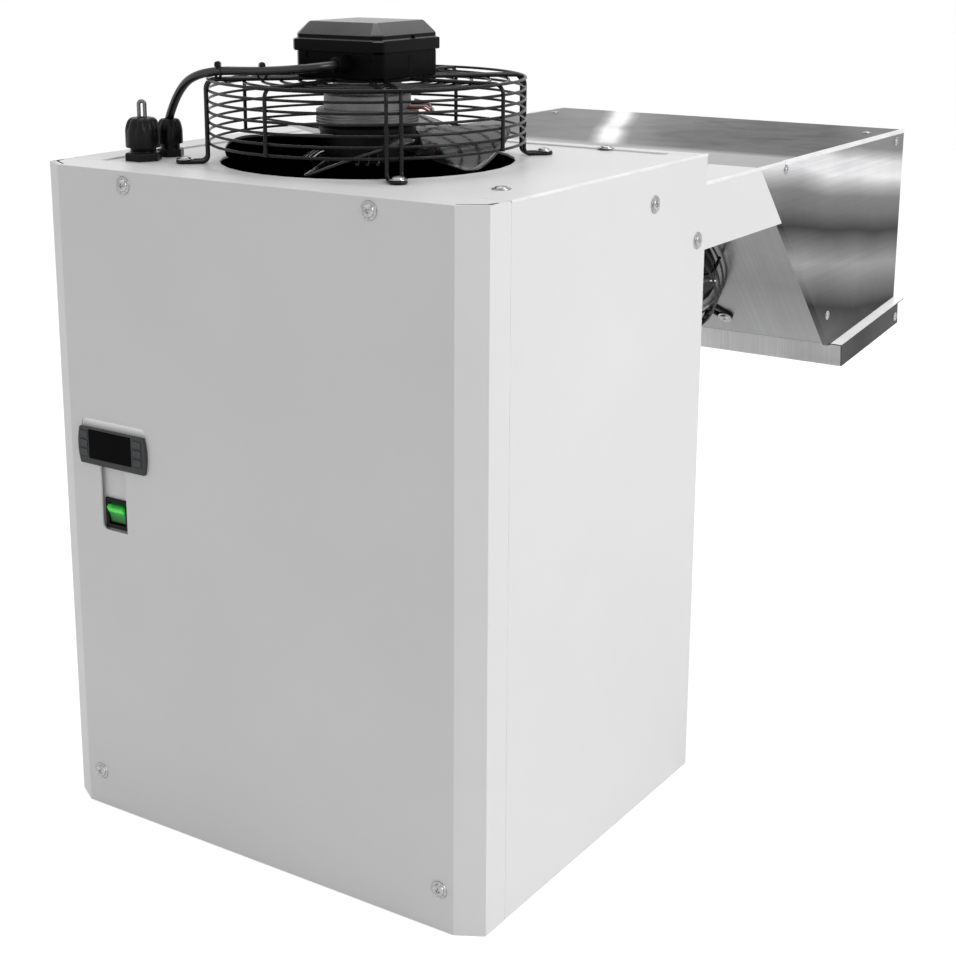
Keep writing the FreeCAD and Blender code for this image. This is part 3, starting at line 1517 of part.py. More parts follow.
def pipework():
    """The pipes of the circuit, from the compressor round to the evaporator and back."""
    shell = "(sheet + grommet_height + comp_plate + comp_height)"
    coil = "(coil_low + coil_thick / 2)"
    side = "(coil_right + end_plate + riser_gap)"
    near = "-discharge_front"
    tunnel = "(tunnel_sill + tunnel_height / 2)"
    coil_front = f"({EVAP_FAR} - evap_coil_inset - evap_coil_back)"
    discharge = pipe(
        "discharge_pipe",
        [
            ("comp_x + port", "comp_y - port", shell),
            ("comp_x + port", "comp_y - port", f"{shell} + discharge_rise"),
            (side, "comp_y - port", f"{shell} + discharge_rise"),
            (side, near, f"{shell} + discharge_rise"),
            (side, near, coil),
            ("coil_right + end_plate", near, coil),
        ],
        "pipe",
    )
    keep(discharge, "discharge_pipe")
    outlet = pipe(
        "condenser_outlet_pipe",
        [
            ("coil_right + end_plate", "receiver_y", coil),
            (side, "receiver_y", coil),
            (side, "receiver_y", "outlet_level"),
            ("-receiver_x + receiver_port", "receiver_y", "outlet_level"),
            ("-receiver_x + receiver_port", "receiver_y", "receiver_height"),
        ],
        "thin_pipe",
    )
    feed = pipe(
        "drier_pipe",
        [
            ("-receiver_x - receiver_port", "receiver_y", "receiver_height"),
            ("-receiver_x - receiver_port", "receiver_y", "drier_low - feed_drop"),
            ("-receiver_x - receiver_port", "drier_y", "drier_low - feed_drop"),
            ("-drier_x", "drier_y", "drier_low - feed_drop"),
            ("-drier_x", "drier_y", "drier_low"),
        ],
        "thin_pipe",
    )
    supply = pipe(
        "liquid_pipe",
        [
            ("-drier_x", "drier_y", "drier_low + drier_length"),
            ("-drier_x", "drier_y", tunnel),
            ("-drier_x", coil_front, tunnel),
        ],
        "thin_pipe",
    )
    keep(together("liquid_line", [outlet, feed, supply]), "liquid_line")
    suction = pipe(
        "suction_pipe",
        [
            ("comp_x - port", "comp_y + port", shell),
            ("comp_x - port", "comp_y + port", "suction_level"),
            ("comp_x - port", "drier_y", "suction_level"),
            ("-suction_x", "drier_y", "suction_level"),
            ("-suction_x", "drier_y", tunnel),
            ("-suction_x", coil_front, tunnel),
        ],
        "suction_pipe",
    )
    keep(suction, "suction_pipe")
    made = rounded_solid(
        "filter_drier",
        SMALL_SIDES,
        [
            ("thin_pipe + drier_wall", "0"),
            ("drier_radius", "drier_taper"),
            ("drier_radius", "drier_length - drier_taper"),
            ("thin_pipe + drier_wall", "drier_length"),
        ],
    )
    keep(place(made, "-drier_x", "drier_y", "drier_low"), "filter_drier")


def electrical_box():
    """Box behind the control plate that holds the wiring, open towards the plate."""
    owner = new_body("electrical_box")
    start = f"({FRONT} + control_recess + sheet)"
    back = f"({start} + box_depth)"
    low, high = "panel_low + box_margin", "panel_high - box_margin"
    outer = box_outline("-panel_left", "-panel_right", low, high)
    inner = box_outline("-panel_left + sheet", "-panel_right - sheet", f"{low} + sheet", f"{high} - sheet")
    slab(owner, "y", start, f"{back} - sheet", outer, inner)
    slab(owner, "y", f"{back} - sheet", back, outer)
    return keep(owner, "electrical_box")


def drain_spout():
    """Drain spout under the tray: a square flange and a tube for the drain hose."""
    owner = new_body("drain_spout")
    bore = ("0", "0", "spout_bore")
    flange = box_outline("-spout_flange", "spout_flange", "-spout_flange", "spout_flange")
    slab(owner, "z", "-spout_plate", "0", flange, bore)
    slab(owner, "z", "-spout_length", "-spout_plate", ("0", "0", "spout_radius"), bore)
    along, drop = "spout_inset", "tray_wall_height"
    y = f"{SLANT_LOW} + {along} * cos({TRAY_TILT}) + {drop} * sin({TRAY_TILT})"
    z = f"{EVAP_LOW} + {along} * sin({TRAY_TILT}) - {drop} * cos({TRAY_TILT})"
    return keep(place(owner, "0", y, z, TRAY_TILT), "drain_spout")


def build():
    """Makes every sub-part, from the cabinet to the drip tray."""
    cabinet_base()
    front_cover()
    side_panel("side_panel_left", -1)
    side_panel("side_panel_right", 1)
    rear_panel()
    top_plate()
    fan_place = (FAN_X, "0", PLATE)
    wire_guard("fan_guard", "guard_height", "hoop_low", "hoop_pitch", SIDE_HOOPS, *fan_place)
    fan_motor("fan_motor", "guard_height", "motor_low", "motor_step", "motor_neck", *fan_place)
    impeller("fan_impeller", "blade_tip", "blade_centre", *fan_place)
    terminal_box()
    terminal_lid()
    terminal_gland()
    cable_gland("gland_fan", "gland_fan_hex", "gland_fan_height", "gland_fan_y")
    cable_gland("gland_supply", "gland_supply_hex", "gland_supply_height", "gland_supply_y")
    fan_lead()
    control_panel()
    controller()
    keep(window_block("controller_window", "0"), "controller_window")
    controller_keys()
    rocker_switch()
    rocker()
    condenser()
    condenser_bends()
    compressor()
    receiver()
    pipework()
    electrical_box()
    saddle()
    evaporator_side("evaporator_side_left", -1)
    evaporator_side("evaporator_side_right", 1)
    evaporator_top()
    fan_plate()
    evaporator_coil()
    evaporator_bends()
    seat = ("0", EVAP_SEAT_Y, EVAP_SEAT_Z, EVAP_TURN)
    evap_levels = ("evap_guard_height", "evap_hoop_low", "evap_hoop_pitch", EVAP_SIDE_HOOPS)
    wire_guard("evaporator_guard", *evap_levels, *seat)
    motor_levels = ("evap_guard_height", "evap_motor_low", "evap_motor_step", "evap_motor_neck")
    fan_motor("evaporator_motor", *motor_levels, *seat)
    drop = "(motor_low - evap_motor_low)"
    wheel_y = f"{EVAP_SEAT_Y} + {drop} * cos({SLANT_ANGLE})"
    wheel_z = f"{EVAP_SEAT_Z} + {drop} * sin({SLANT_ANGLE})"
    wheel = ("0", wheel_y, wheel_z, EVAP_TURN)
    impeller("evaporator_impeller", "evap_blade_tip", "evap_blade_centre", *wheel)
    drip_tray()
    drain_spout()
    check_and_write()


build()
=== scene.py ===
import json
import math

import bmesh
import bpy
from mathutils import Matrix, Vector


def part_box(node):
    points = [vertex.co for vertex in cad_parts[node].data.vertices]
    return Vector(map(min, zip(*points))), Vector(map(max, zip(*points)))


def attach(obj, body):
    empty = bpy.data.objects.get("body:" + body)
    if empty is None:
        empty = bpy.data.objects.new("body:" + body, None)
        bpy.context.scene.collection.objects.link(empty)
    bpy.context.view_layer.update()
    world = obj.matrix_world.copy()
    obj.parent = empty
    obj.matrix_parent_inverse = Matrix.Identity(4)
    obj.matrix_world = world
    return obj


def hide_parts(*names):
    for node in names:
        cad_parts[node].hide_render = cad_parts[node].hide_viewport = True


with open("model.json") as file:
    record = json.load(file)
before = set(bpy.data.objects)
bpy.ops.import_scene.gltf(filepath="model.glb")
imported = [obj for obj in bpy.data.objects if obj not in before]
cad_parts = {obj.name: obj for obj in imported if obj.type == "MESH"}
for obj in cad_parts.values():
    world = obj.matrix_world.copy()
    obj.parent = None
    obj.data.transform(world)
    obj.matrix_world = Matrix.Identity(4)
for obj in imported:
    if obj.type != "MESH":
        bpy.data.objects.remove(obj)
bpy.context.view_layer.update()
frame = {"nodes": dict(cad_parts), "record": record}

NODES = frame["nodes"]
UNIT = "unit"

# The camera that the photograph was taken with, from its perspective
CAMERA_PLACE = (0.8902, -1.2210, 0.7854)
CAMERA_TURN = 33.9713
CAMERA_DIP = 13.9922
LENS = 65.28
SHIFT = (0.0358, -0.1218)
SENSOR = 36

# Places that the solids share with the scene, in metres. Each fan's own placement has Z along its axis.
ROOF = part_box("top_plate")[1].z
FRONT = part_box("front_cover")[0].y
HALF_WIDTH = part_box("side_panel_right")[1].x
CABINET_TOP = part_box("front_cover")[1].z
SADDLE_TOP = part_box("saddle_cover")[1].z
EVAP_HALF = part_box("evaporator_side_right")[1].x
EVAP_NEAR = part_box("evaporator_top")[0].y
EVAP_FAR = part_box("evaporator_top")[1].y
EVAP_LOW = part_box("evaporator_side_right")[0].z
TRAY_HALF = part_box("tray_side_right")[1].x
SLANT_RUN = 0.2
SLANT = math.atan2(SLANT_RUN, SADDLE_TOP - EVAP_LOW)
FAN_DROP = 0.148
STEEL = 0.0012
FAN_X = -0.0125
ROOF_FAN = Matrix.Translation((FAN_X, 0, ROOF))
EVAP_FAN = Matrix.Translation(
    (
        0,
        EVAP_NEAR + FAN_DROP * math.sin(SLANT) + STEEL * math.cos(SLANT),
        SADDLE_TOP - FAN_DROP * math.cos(SLANT) + STEEL * math.sin(SLANT),
    )
) @ Matrix.Rotation(math.pi / 2 + SLANT, 4, "X")


def add_camera():
    """Camera at the photograph's place and angle."""
    data = bpy.data.cameras.new("camera")
    data.sensor_width = SENSOR
    data.lens = LENS
    data.shift_x, data.shift_y = SHIFT
    data.clip_end = 50
    camera = bpy.data.objects.new("camera", data)
    camera.location = CAMERA_PLACE
    camera.rotation_euler = (math.radians(90 - CAMERA_DIP), 0, math.radians(CAMERA_TURN))
    bpy.context.scene.collection.objects.link(camera)
    bpy.context.scene.camera = camera


def grey(tone):
    """A colour without a hue."""
    return (tone, tone, tone)


class Look:
    """A material and short calls that add nodes to it."""

    def __init__(self, name):
        self.material = bpy.data.materials.new(name)
        self.material.use_nodes = True
        self.tree = self.material.node_tree
        self.shader = self.tree.nodes["Principled BSDF"]
        self.coordinates = self.add("ShaderNodeTexCoord")
        self.place = self.coordinates.outputs["Object"]

    def add(self, kind, **settings):
        """A new node of the material."""
        made = self.tree.nodes.new(kind)
        for name, value in settings.items():
            setattr(made, name, value)
        return made

    def join(self, source, target):
        """Links an output to an input."""
        self.tree.links.new(source, target)

    def feed(self, socket, value):
        """Links a node's output to a socket, or sets the socket to a number or a colour."""
        if isinstance(value, bpy.types.NodeSocket):
            self.join(value, socket)
        elif isinstance(value, tuple) and len(value) == 3:
            socket.default_value = (*value, 1)
        else:
            socket.default_value = value

    def stretched(self, scale):
        """Object coordinates, scaled by axis."""
        mapping = self.add("ShaderNodeMapping")
        mapping.inputs["Scale"].default_value = scale
        self.join(self.place, mapping.inputs["Vector"])
        return mapping.outputs["Vector"]

    def noise(self, scale, detail=4, roughness=0.5, place=None):
        """Noise in object coordinates, or in those that are given."""
        made = self.add("ShaderNodeTexNoise")
        made.inputs["Scale"].default_value = scale
        made.inputs["Detail"].default_value = detail
        made.inputs["Roughness"].default_value = roughness
        self.join(place or self.place, made.inputs["Vector"])
        return made.outputs["Fac"]

    def cells(self, scale, output="Distance"):
        """Voronoi cells in object coordinates."""
        made = self.add("ShaderNodeTexVoronoi", feature="F1")
        made.inputs["Scale"].default_value = scale
        self.join(self.place, made.inputs["Vector"])
        return made.outputs[output]

    def span(self, value, low, high, start=0.0, end=1.0):
        """A value moved from the range start to end into the range low to high."""
        made = self.add("ShaderNodeMapRange")
        made.inputs["From Min"].default_value = start
        made.inputs["From Max"].default_value = end
        made.inputs["To Min"].default_value = low
        made.inputs["To Max"].default_value = high
        self.join(value, made.inputs["Value"])
        return made.outputs["Result"]

    def ramp(self, value, *stops):
        """A colour ramp over the value: each stop is a place and a colour."""
        made = self.add("ShaderNodeValToRGB")
        points = made.color_ramp.elements
        for place, colour in stops[2:]:
            points.new(place)
        for point, (place, colour) in zip(points, stops):
            point.position = place
            point.color = (*colour, 1)
        self.join(value, made.inputs["Fac"])
        return made.outputs["Color"]

    def math(self, operation, one, other):
        """Arithmetic on two values, each a number or another node's output."""
        made = self.add("ShaderNodeMath", operation=operation)
        for socket, value in zip(made.inputs, (one, other)):
            self.feed(socket, value)
        return made.outputs[0]

    def blend(self, factor, one, other, mode="MIX"):
        """Two colours mixed by a factor."""
        made = self.add("ShaderNodeMix", data_type="RGBA", blend_type=mode)
        for number, value in ((0, factor), (6, one), (7, other)):
            self.feed(made.inputs[number], value)
        return made.outputs[2]

    def bump(self, height, strength, distance):
        """Bump of the whole surface from a height."""
        made = self.add("ShaderNodeBump")
        made.inputs["Strength"].default_value = strength
        made.inputs["Distance"].default_value = distance
        self.join(height, made.inputs["Height"])
        self.join(made.outputs["Normal"], self.shader.inputs["Normal"])

    def split(self, vector):
        """The three coordinates of a vector."""
        made = self.add("ShaderNodeSeparateXYZ")
        self.join(vector, made.inputs[0])
        return made.outputs

    def set(self, **values):
        """Sockets of the shader: a number, a colour or another node's output."""
        for name, value in values.items():
            self.feed(self.shader.inputs[name.replace("_", " ")], value)


def powder_coat(name="powder_coat", throat=None, painted_light_above=None):
    """White powder coat: a fine orange peel, with a hardly visible change of tone.

    Below the throat level it is painted black, as painted shade inside the fan's throat. Above the other
    given level it glows a little, as painted light."""
    look = Look(name)
    tone = look.ramp(look.noise(6, 3), (0.3, grey(0.80)), (0.7, grey(0.83)))
    gloss = 0.5
    # Painted shade: the throat under this level is painted black
    if throat:
        white = look.span(look.split(look.place)[2], 0.0, 1.0, throat - 0.0008, throat)
        tone = look.blend(white, grey(0.004), tone)
        gloss = look.math("MULTIPLY", white, 0.5)
    # Painted light: the coat glows above this level
    if painted_light_above:
        glow = look.span(look.split(look.place)[2], 0.0, 0.30, painted_light_above - 0.004, painted_light_above + 0.004)
        look.set(Emission_Color=grey(1.0), Emission_Strength=glow)
    look.set(Base_Color=tone, Roughness=look.span(look.noise(40), 0.36, 0.46), Specular_IOR_Level=gloss)
    look.bump(look.noise(900, 2), 0.10, 0.0004)
    return look.material


def zinc_sheet():
    """Galvanised sheet with its spangle."""
    look = Look("zinc_sheet")
    grain = look.cells(90, output="Color")
    tone = look.blend(0.12, (0.60, 0.62, 0.64), grain, "OVERLAY")
    look.set(Base_Color=tone, Metallic=0.9, Roughness=look.span(look.noise(60), 0.32, 0.5))
    look.bump(look.cells(90), 0.05, 0.0005)
    return look.material


def brushed(name, scale, bands, along, span, bow=None, lit=None, near=None):
    """Brushed stainless sheet: fine strokes, faint smudges and soft bands of painted reflection.

    The painted reflection bands run along one axis between two levels. A bow of (axis, slope, middle) slants
    them, and lit is the painted tone of the faces that look up, which also glow a little as painted light.
    Between the two depths of near the sheet fades from a pale painted reflection of the saddle into its
    bands."""
    look = Look(name)
    strokes = look.noise(1, 6, 0.62, look.stretched(scale))
    parts = look.split(look.place)
    level = look.math("ADD", parts[along], look.span(look.noise(4, 2), -0.006, 0.006, 0.3, 0.7))
    if bow:
        axis, slope, middle = bow
        level = look.math("ADD", level, look.span(parts[axis], -slope, slope, middle - 1, middle + 1))
    # Painted reflection: the bands are reflections painted into the colour
    tone = look.ramp(look.span(level, 0.0, 1.0, *span), *[(at, (t, t, t * 1.01)) for at, t in bands])
    # Painted reflection: a pale image of the saddle near the sheet's front
    if near:
        tone = look.blend(look.span(parts[1], 1.0, 0.0, *near), tone, grey(0.62))
    metal, shine = 1.0, 0.0
    # Painted light: faces that look up get a lighter tone, less metal and a glow
    if lit:
        up = look.split(look.coordinates.outputs["Normal"])[2]
        tone = look.blend(look.span(up, 0.0, 1.0, 0.5, 0.9), tone, grey(lit))
        metal = look.span(up, 1.0, 0.1, 0.5, 0.9)
        shine = look.span(up, 0.0, 0.35, 0.5, 0.9)
    grain = look.ramp(strokes, (0.3, grey(0.90)), (0.7, grey(1.08)))
    cloud = look.ramp(look.noise(9, 4, 0.6), (0.3, (0.92, 0.92, 0.93)), (0.7, grey(1.05)))
    tone = look.blend(1.0, look.blend(1.0, tone, grain, "MULTIPLY"), cloud, "MULTIPLY")
    smudge = look.span(look.noise(16, 5, 0.7), 0.0, 0.10, 0.45, 0.75)
    rough = look.math("ADD", look.span(strokes, 0.24, 0.34), smudge)
    look.set(
        Base_Color=tone,
        Metallic=metal,
        Roughness=rough,
        Anisotropic=0.4,
        Specular_Tint=look.math("MAXIMUM", tone, 0.60),
        Emission_Color=grey(1.0),
        Emission_Strength=shine,
    )
    look.bump(strokes, 0.05, 0.0001)
    return look.material


def coated_wire():
    """Black plastic-coated wire: glossy, with slight unevenness."""
    look = Look("coated_wire")
    tone = look.ramp(look.noise(120), (0.3, grey(0.004)), (0.7, grey(0.010)))
    look.set(Base_Color=tone, Roughness=look.span(look.noise(200), 0.2, 0.34), Specular_IOR_Level=0.2)
    look.bump(look.noise(420, 3), 0.25, 0.0004)
    return look.material


def cast_aluminium(tone):
    """Die-cast aluminium with a fine grain."""
    look = Look("cast_aluminium")
    shade = look.ramp(look.noise(80, 6), (0.3, grey(tone * 0.8)), (0.7, grey(tone * 1.15)))
    look.set(Base_Color=shade, Metallic=0.85, Roughness=look.span(look.noise(160), 0.38, 0.55))
    look.bump(look.noise(700, 4), 0.3, 0.0004)
    return look.material


def moulded(name, colour, roughness, grain, gloss=0.5):
    """Moulded plastic with a fine grain and slight changes of tone."""
    look = Look(name)
    dark = tuple(each * 0.88 for each in colour)
    light = tuple(min(1, each * 1.12) for each in colour)
    look.set(
        Base_Color=look.ramp(look.noise(30), (0.3, dark), (0.7, light)),
        Roughness=look.span(look.noise(90), roughness * 0.85, roughness * 1.15),
        Specular_IOR_Level=gloss,
    )
    look.bump(look.noise(1400, 2), grain, 0.0003)
    return look.material


def lid_painted_light():
    """Black lid whose slopes and top are painted lighter than its walls as painted light, with a satin shine.
    """
    look = Look("lid_painted_light")
    # Painted light: faces that look up get a lighter tone than the walls
    up = look.span(look.split(look.coordinates.outputs["Normal"])[2], 0.0, 1.0, 0.25, 0.85)
    cloud = look.ramp(look.noise(24, 3), (0.3, grey(0.028)), (0.7, grey(0.060)))
    look.set(
        Base_Color=look.blend(up, grey(0.003), cloud),
        Roughness=look.span(look.noise(90), 0.22, 0.32),
        Specular_IOR_Level=look.span(up, 0.06, 0.75),
    )
    look.bump(look.noise(1400, 2), 0.2, 0.0003)
    return look.material


def painted(name, colour, roughness, gloss):
    """Brushed-on or sprayed enamel over steel."""
    look = Look(name)
    dark = tuple(each * 0.8 for each in colour)
    look.set(
        Base_Color=look.ramp(look.noise(25, 5), (0.35, dark), (0.65, colour)),
        Roughness=look.span(look.noise(60), roughness * 0.8, roughness * 1.2),
        Specular_IOR_Level=gloss,
    )
    look.bump(look.noise(260, 3), 0.15, 0.0006)
    return look.material


def copper():
    """Bare copper pipe, duller in patches."""
    look = Look("copper_pipe")
    tone = look.ramp(
        look.noise(30, 6, 0.65),
        (0.3, (0.42, 0.19, 0.10)),
        (0.6, (0.72, 0.36, 0.22)),
    )
    look.set(Base_Color=tone, Metallic=1.0, Roughness=look.span(look.noise(50), 0.22, 0.45))
    look.bump(look.noise(300), 0.1, 0.0004)
    return look.material


def fins():
    """Stack of thin aluminium fins, a little dusty, with painted shade as dark lines in the slits between
    them.
    """
    look = Look("aluminium_fins")
    slits = look.noise(1, 2, 0.5, look.stretched((520, 2, 2)))
    dust = look.ramp(look.noise(70, 5), (0.3, (0.50, 0.51, 0.52)), (0.7, (0.68, 0.69, 0.70)))
    # Painted shade: dark lines where the slits between the fins lie in shadow
    painted_slit_shade = look.ramp(slits, (0.38, (0.16, 0.16, 0.17)), (0.58, grey(1.0)))
    look.set(
        Base_Color=look.blend(1.0, dust, painted_slit_shade, "MULTIPLY"),
        Metallic=0.85,
        Roughness=look.span(look.noise(120), 0.3, 0.5),
    )
    look.bump(slits, 0.25, 0.0005)
    return look.material


def rubber(name, tone, shine=0.18, roughness=0.43):
    """Black rubber or cable sheath."""
    look = Look(name)
    shade = look.ramp(look.noise(60), (0.3, grey(tone * 0.7)), (0.7, grey(tone * 1.4)))
    look.set(
        Base_Color=shade,
        Roughness=look.span(look.noise(110), roughness * 0.8, roughness * 1.2),
        Specular_IOR_Level=shine,
    )
    look.bump(look.noise(900, 3), 0.3, 0.0003)
    return look.material


def rigid_foam():
    """Cut polyurethane foam with its cells."""
    look = Look("rigid_foam")
    tone = look.ramp(look.cells(420), (0.0, (0.80, 0.75, 0.60)), (0.6, (0.92, 0.89, 0.78)))
    look.set(Base_Color=tone, Roughness=look.span(look.noise(40), 0.8, 0.95))
    look.bump(look.cells(420), 0.6, 0.001)
    return look.material


def bright_screw(name="bright_screw", shade=0.40):
    """Zinc-plated screw or drawn wire."""
    look = Look(name)
    tone = look.ramp(look.noise(300, 4), (0.3, grey(shade * 0.7)), (0.7, grey(shade * 1.15)))
    look.set(Base_Color=tone, Metallic=1.0, Roughness=look.span(look.noise(400), 0.18, 0.34))
    look.bump(look.noise(900), 0.12, 0.0002)
    return look.material


def dark_window():
    """Glossy dark window of the controller."""
    look = Look("dark_window")
    tone = look.ramp(look.noise(20), (0.3, grey(0.002)), (0.7, grey(0.005)))
    look.set(Base_Color=tone, Roughness=look.span(look.noise(60), 0.1, 0.2), Specular_IOR_Level=0.02)
    look.bump(look.noise(220), 0.03, 0.0002)
    return look.material


def green_rocker():
    """Translucent green rocker, brighter in its upper half with a painted highlight band, that glows a little
    from the lamp inside.
    """
    look = Look("green_rocker")
    low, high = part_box("switch_rocker")
    level = look.math("ADD", look.split(look.place)[2], look.span(look.noise(90, 3), -0.001, 0.001, 0.3, 0.7))
    # Painted highlight: the bright band across the rocker's upper half
    tone = look.ramp(
        look.span(level, 0.0, 1.0, low.z, high.z),
        (0.0, (0.0, 0.10, 0.01)),
        (0.30, (0.0, 0.16, 0.02)),
        (0.58, (0.0, 0.30, 0.02)),
        (0.70, (0.08, 0.85, 0.07)),
        (0.90, (0.04, 0.60, 0.04)),
        (1.0, (0.0, 0.25, 0.02)),
    )
    look.set(
        Base_Color=tone,
        Roughness=look.span(look.noise(140), 0.22, 0.34),
        Emission_Color=tone,
        Emission_Strength=0.22,
        Specular_IOR_Level=0.3,
    )
    look.bump(look.noise(500), 0.08, 0.0003)
    return look.material


# Soft bands of painted reflection on the stainless sheets, as (place along the sheet, tone)
SIDE_REFLECTION_BANDS = [
    (0.0, 0.15),
    (0.10, 0.09),
    (0.18, 0.04),
    (0.30, 0.20),
    (0.40, 0.36),
    (0.47, 0.22),
    (0.57, 0.045),
    (0.66, 0.18),
    (0.74, 0.24),
    (0.78, 0.42),
    (0.85, 0.85),
    (0.93, 0.80),
    (1.0, 0.30),
]
TOP_REFLECTION_BANDS = [
    (0.0, 0.20),
    (0.20, 0.26),
    (0.29, 0.30),
    (0.322, 1.0),
    (0.348, 1.0),
    (0.38, 0.28),
    (0.455, 0.12),
    (0.58, 0.08),
    (0.82, 0.07),
    (0.93, 0.20),
    (1.0, 0.16),
]
PLATE_REFLECTION_BANDS = [(0.0, 0.36), (0.35, 0.26), (0.7, 0.30), (1.0, 0.22)]
END_REFLECTION_BANDS = [(0.0, 0.86), (0.4, 1.0), (0.8, 0.95), (0.9, 0.80), (1.0, 0.75)]
TRAY_REFLECTION_BANDS = [(0.0, 0.09), (0.3, 0.06), (0.6, 0.08), (0.85, 0.10), (1.0, 0.20)]

ROOF_SHEET = 0.0017

LOOKS = {
    "powder": powder_coat(),
    # The roof's throat gets painted shade, and the control plate gets painted light above the controller
    "roof": powder_coat("powder_roof_painted_shade", ROOF - ROOF_SHEET),
    "plate": powder_coat("powder_plate_painted_light", None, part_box("controller_case")[1].z),
    "zinc": zinc_sheet(),
    # The brushed sheets carry painted reflections, and the tray's upward faces carry painted light
    "steel_side": brushed("brushed_side", (3, 3, 900), SIDE_REFLECTION_BANDS, 2, (0.356, 0.572), (1, 0.15, 0.5)),
    "steel_top": brushed(
        "brushed_top", (3, 900, 3), TOP_REFLECTION_BANDS, 0, (-0.25, 0.30), (1, 0.455, 0.55), near=(0.385, 0.412)
    ),
    # A pale white for folds and seals: painted highlight
    "fold_highlight": moulded("painted_highlight_hem", grey(0.95), 0.35, 0.05),
    "steel_plate": brushed("brushed_plate", (900, 3, 3), PLATE_REFLECTION_BANDS, 2, (0.350, 0.566)),
    "steel_end": brushed("brushed_end", (900, 3, 3), END_REFLECTION_BANDS, 0, (-0.236, 0.236)),
    "steel_tray": brushed("brushed_tray", (3, 3, 900), TRAY_REFLECTION_BANDS, 1, (0.50, 0.71), lit=0.95),
    "wire": coated_wire(),
    "cast": cast_aluminium(0.22),
    "dark_steel": bright_screw("dark_steel", 0.16),
    "throat": painted("throat_enamel", grey(0.006), 0.5, 0.1),
    "blade": painted("blade_enamel", grey(0.006), 0.10, 0.5),
    "black_metal": painted("black_metal", grey(0.005), 0.42, 0.12),
    "black_plastic": moulded("black_plastic", grey(0.003), 0.34, 0.3, 0.04),
    "lid_painted_light": lid_painted_light(),
    "gland_plastic": moulded("gland_plastic", grey(0.006), 0.30, 0.12, 0.16),
    "rubber": rubber("black_rubber", 0.012),
    "sheath": rubber("lead_sheath", 0.008, 0.45, 0.24),
    # Black for gaps and slots: painted shade
    "gap_shade": moulded("shadow_gap", grey(0.004), 0.8, 0.1, 0.1),
    "wire_red": moulded("red_sleeve", (0.30, 0.02, 0.02), 0.4, 0.1),
    "wire_white": moulded("white_sleeve", (0.55, 0.55, 0.54), 0.4, 0.1),
    "bezel": moulded("bezel_plastic", (0.060, 0.062, 0.064), 0.5, 0.25, 0.2),
    "key": moulded("key_plastic", (0.074, 0.076, 0.079), 0.5, 0.2, 0.2),
    "window": dark_window(),
    "switch": moulded("switch_plastic", grey(0.005), 0.42, 0.2, 0.12),
    "green": green_rocker(),
    "copper": copper(),
    "fins": fins(),
    "foam": rigid_foam(),
    "screw": bright_screw(),
    "spout": moulded("spout_plastic", (0.22, 0.22, 0.23), 0.5, 0.2),
}

SLOT_LOOKS = {
    "cabinet_white": "powder",
    "base_sheet": "powder",
    "galvanised": "zinc",
    "stainless": "steel_side",
    "coil_fins": "fins",
    "coil_plate": "zinc",
    "copper_tube": "copper",
    "guard_black": "wire",
    "motor_grey": "cast",
    "impeller_black": "black_metal",
    "terminal_black": "black_plastic",
    "lead_black": "sheath",
    "gland_grey": "gland_plastic",
    "controller_grey": "bezel",
    "window_black": "window",
    "key_grey": "key",
    "switch_black": "switch",
    "switch_green": "green",
    "compressor_black": "black_metal",
    "cap_black": "black_plastic",
    "grommet_rubber": "rubber",
    "receiver_black": "black_metal",
    "drier_brass": "copper",
    "foam": "foam",
    "spout_grey": "spout",
}

# Nodes that don't take the look of their slot
OWN_LOOKS = {
    "evaporator_top": "steel_top",
    "evaporator_fan_plate": "steel_plate",
    "drip_tray": "steel_tray",
    "tray_end": "steel_end",
    "tray_side_left": "steel_tray",
    "tray_side_right": "steel_tray",
    "terminal_lid": "lid_painted_light",
    "condenser_shroud": "throat",
    "top_plate": "roof",
    "control_plate": "plate",
}

# Sheets that are shaded flat
FLAT_SHEETS = {
    "front_cover",
    "side_panel_left",
    "side_panel_right",
    "rear_panel",
    "rear_header",
    "top_plate",
    "saddle_cover",
    "evaporator_top",
    "evaporator_side_left",
    "evaporator_side_right",
    "drip_tray",
    "tray_end",
    "tray_side_left",
    "tray_side_right",
}

# Widths of the rounded edges
EDGE_WIDTHS = {
    "side_panel_left": 0.0005,
    "side_panel_right": 0.0005,
    "rear_panel": 0.0005,
    "rear_header": 0.0004,
    "top_plate": 0.0005,
    "saddle_cover": 0.0005,
    "control_plate": 0.0003,
    "controller_case": 0.0006,
    "terminal_box": 0.0012,
    "terminal_lid": 0.0014,
    "switch_housing": 0.0004,
    "switch_rocker": 0.0005,
    "drip_tray": 0.0003,
    "tray_side_left": 0.0003,
    "tray_side_right": 0.0003,
    "evaporator_top": 0.0003,
    "evaporator_side_left": 0.0003,
    "evaporator_side_right": 0.0003,
    "evaporator_fan_plate": 0.0003,
    "compressor": 0.002,
    "compressor_terminal_cap": 0.003,
    "receiver": 0.002,
    "fan_motor": 0.0012,
    "evaporator_motor": 0.0012,
}


def soften(obj, width):
    """Rounds the edges of an object."""
    soft = obj.modifiers.new("edges", "BEVEL")
    soft.width = width
    soft.segments = 2
    return soft


def finish(obj, look, width):
    """Gives an object its material and, where it has a width, rounded edges."""
    obj.data.materials.clear()
    obj.data.materials.append(LOOKS[look])
    if width:
        weld = obj.modifiers.new("weld", "WELD")
        weld.merge_threshold = 1e-6
        if obj.name in FLAT_SHEETS:
            planes = obj.modifiers.new("planes", "DECIMATE")
            planes.decimate_type = "DISSOLVE"
            planes.angle_limit = math.radians(0.5)
        soft = soften(obj, width)
        soft.limit_method = "ANGLE"
        soft.angle_limit = math.radians(30)
        soft.harden_normals = obj.name not in FLAT_SHEETS


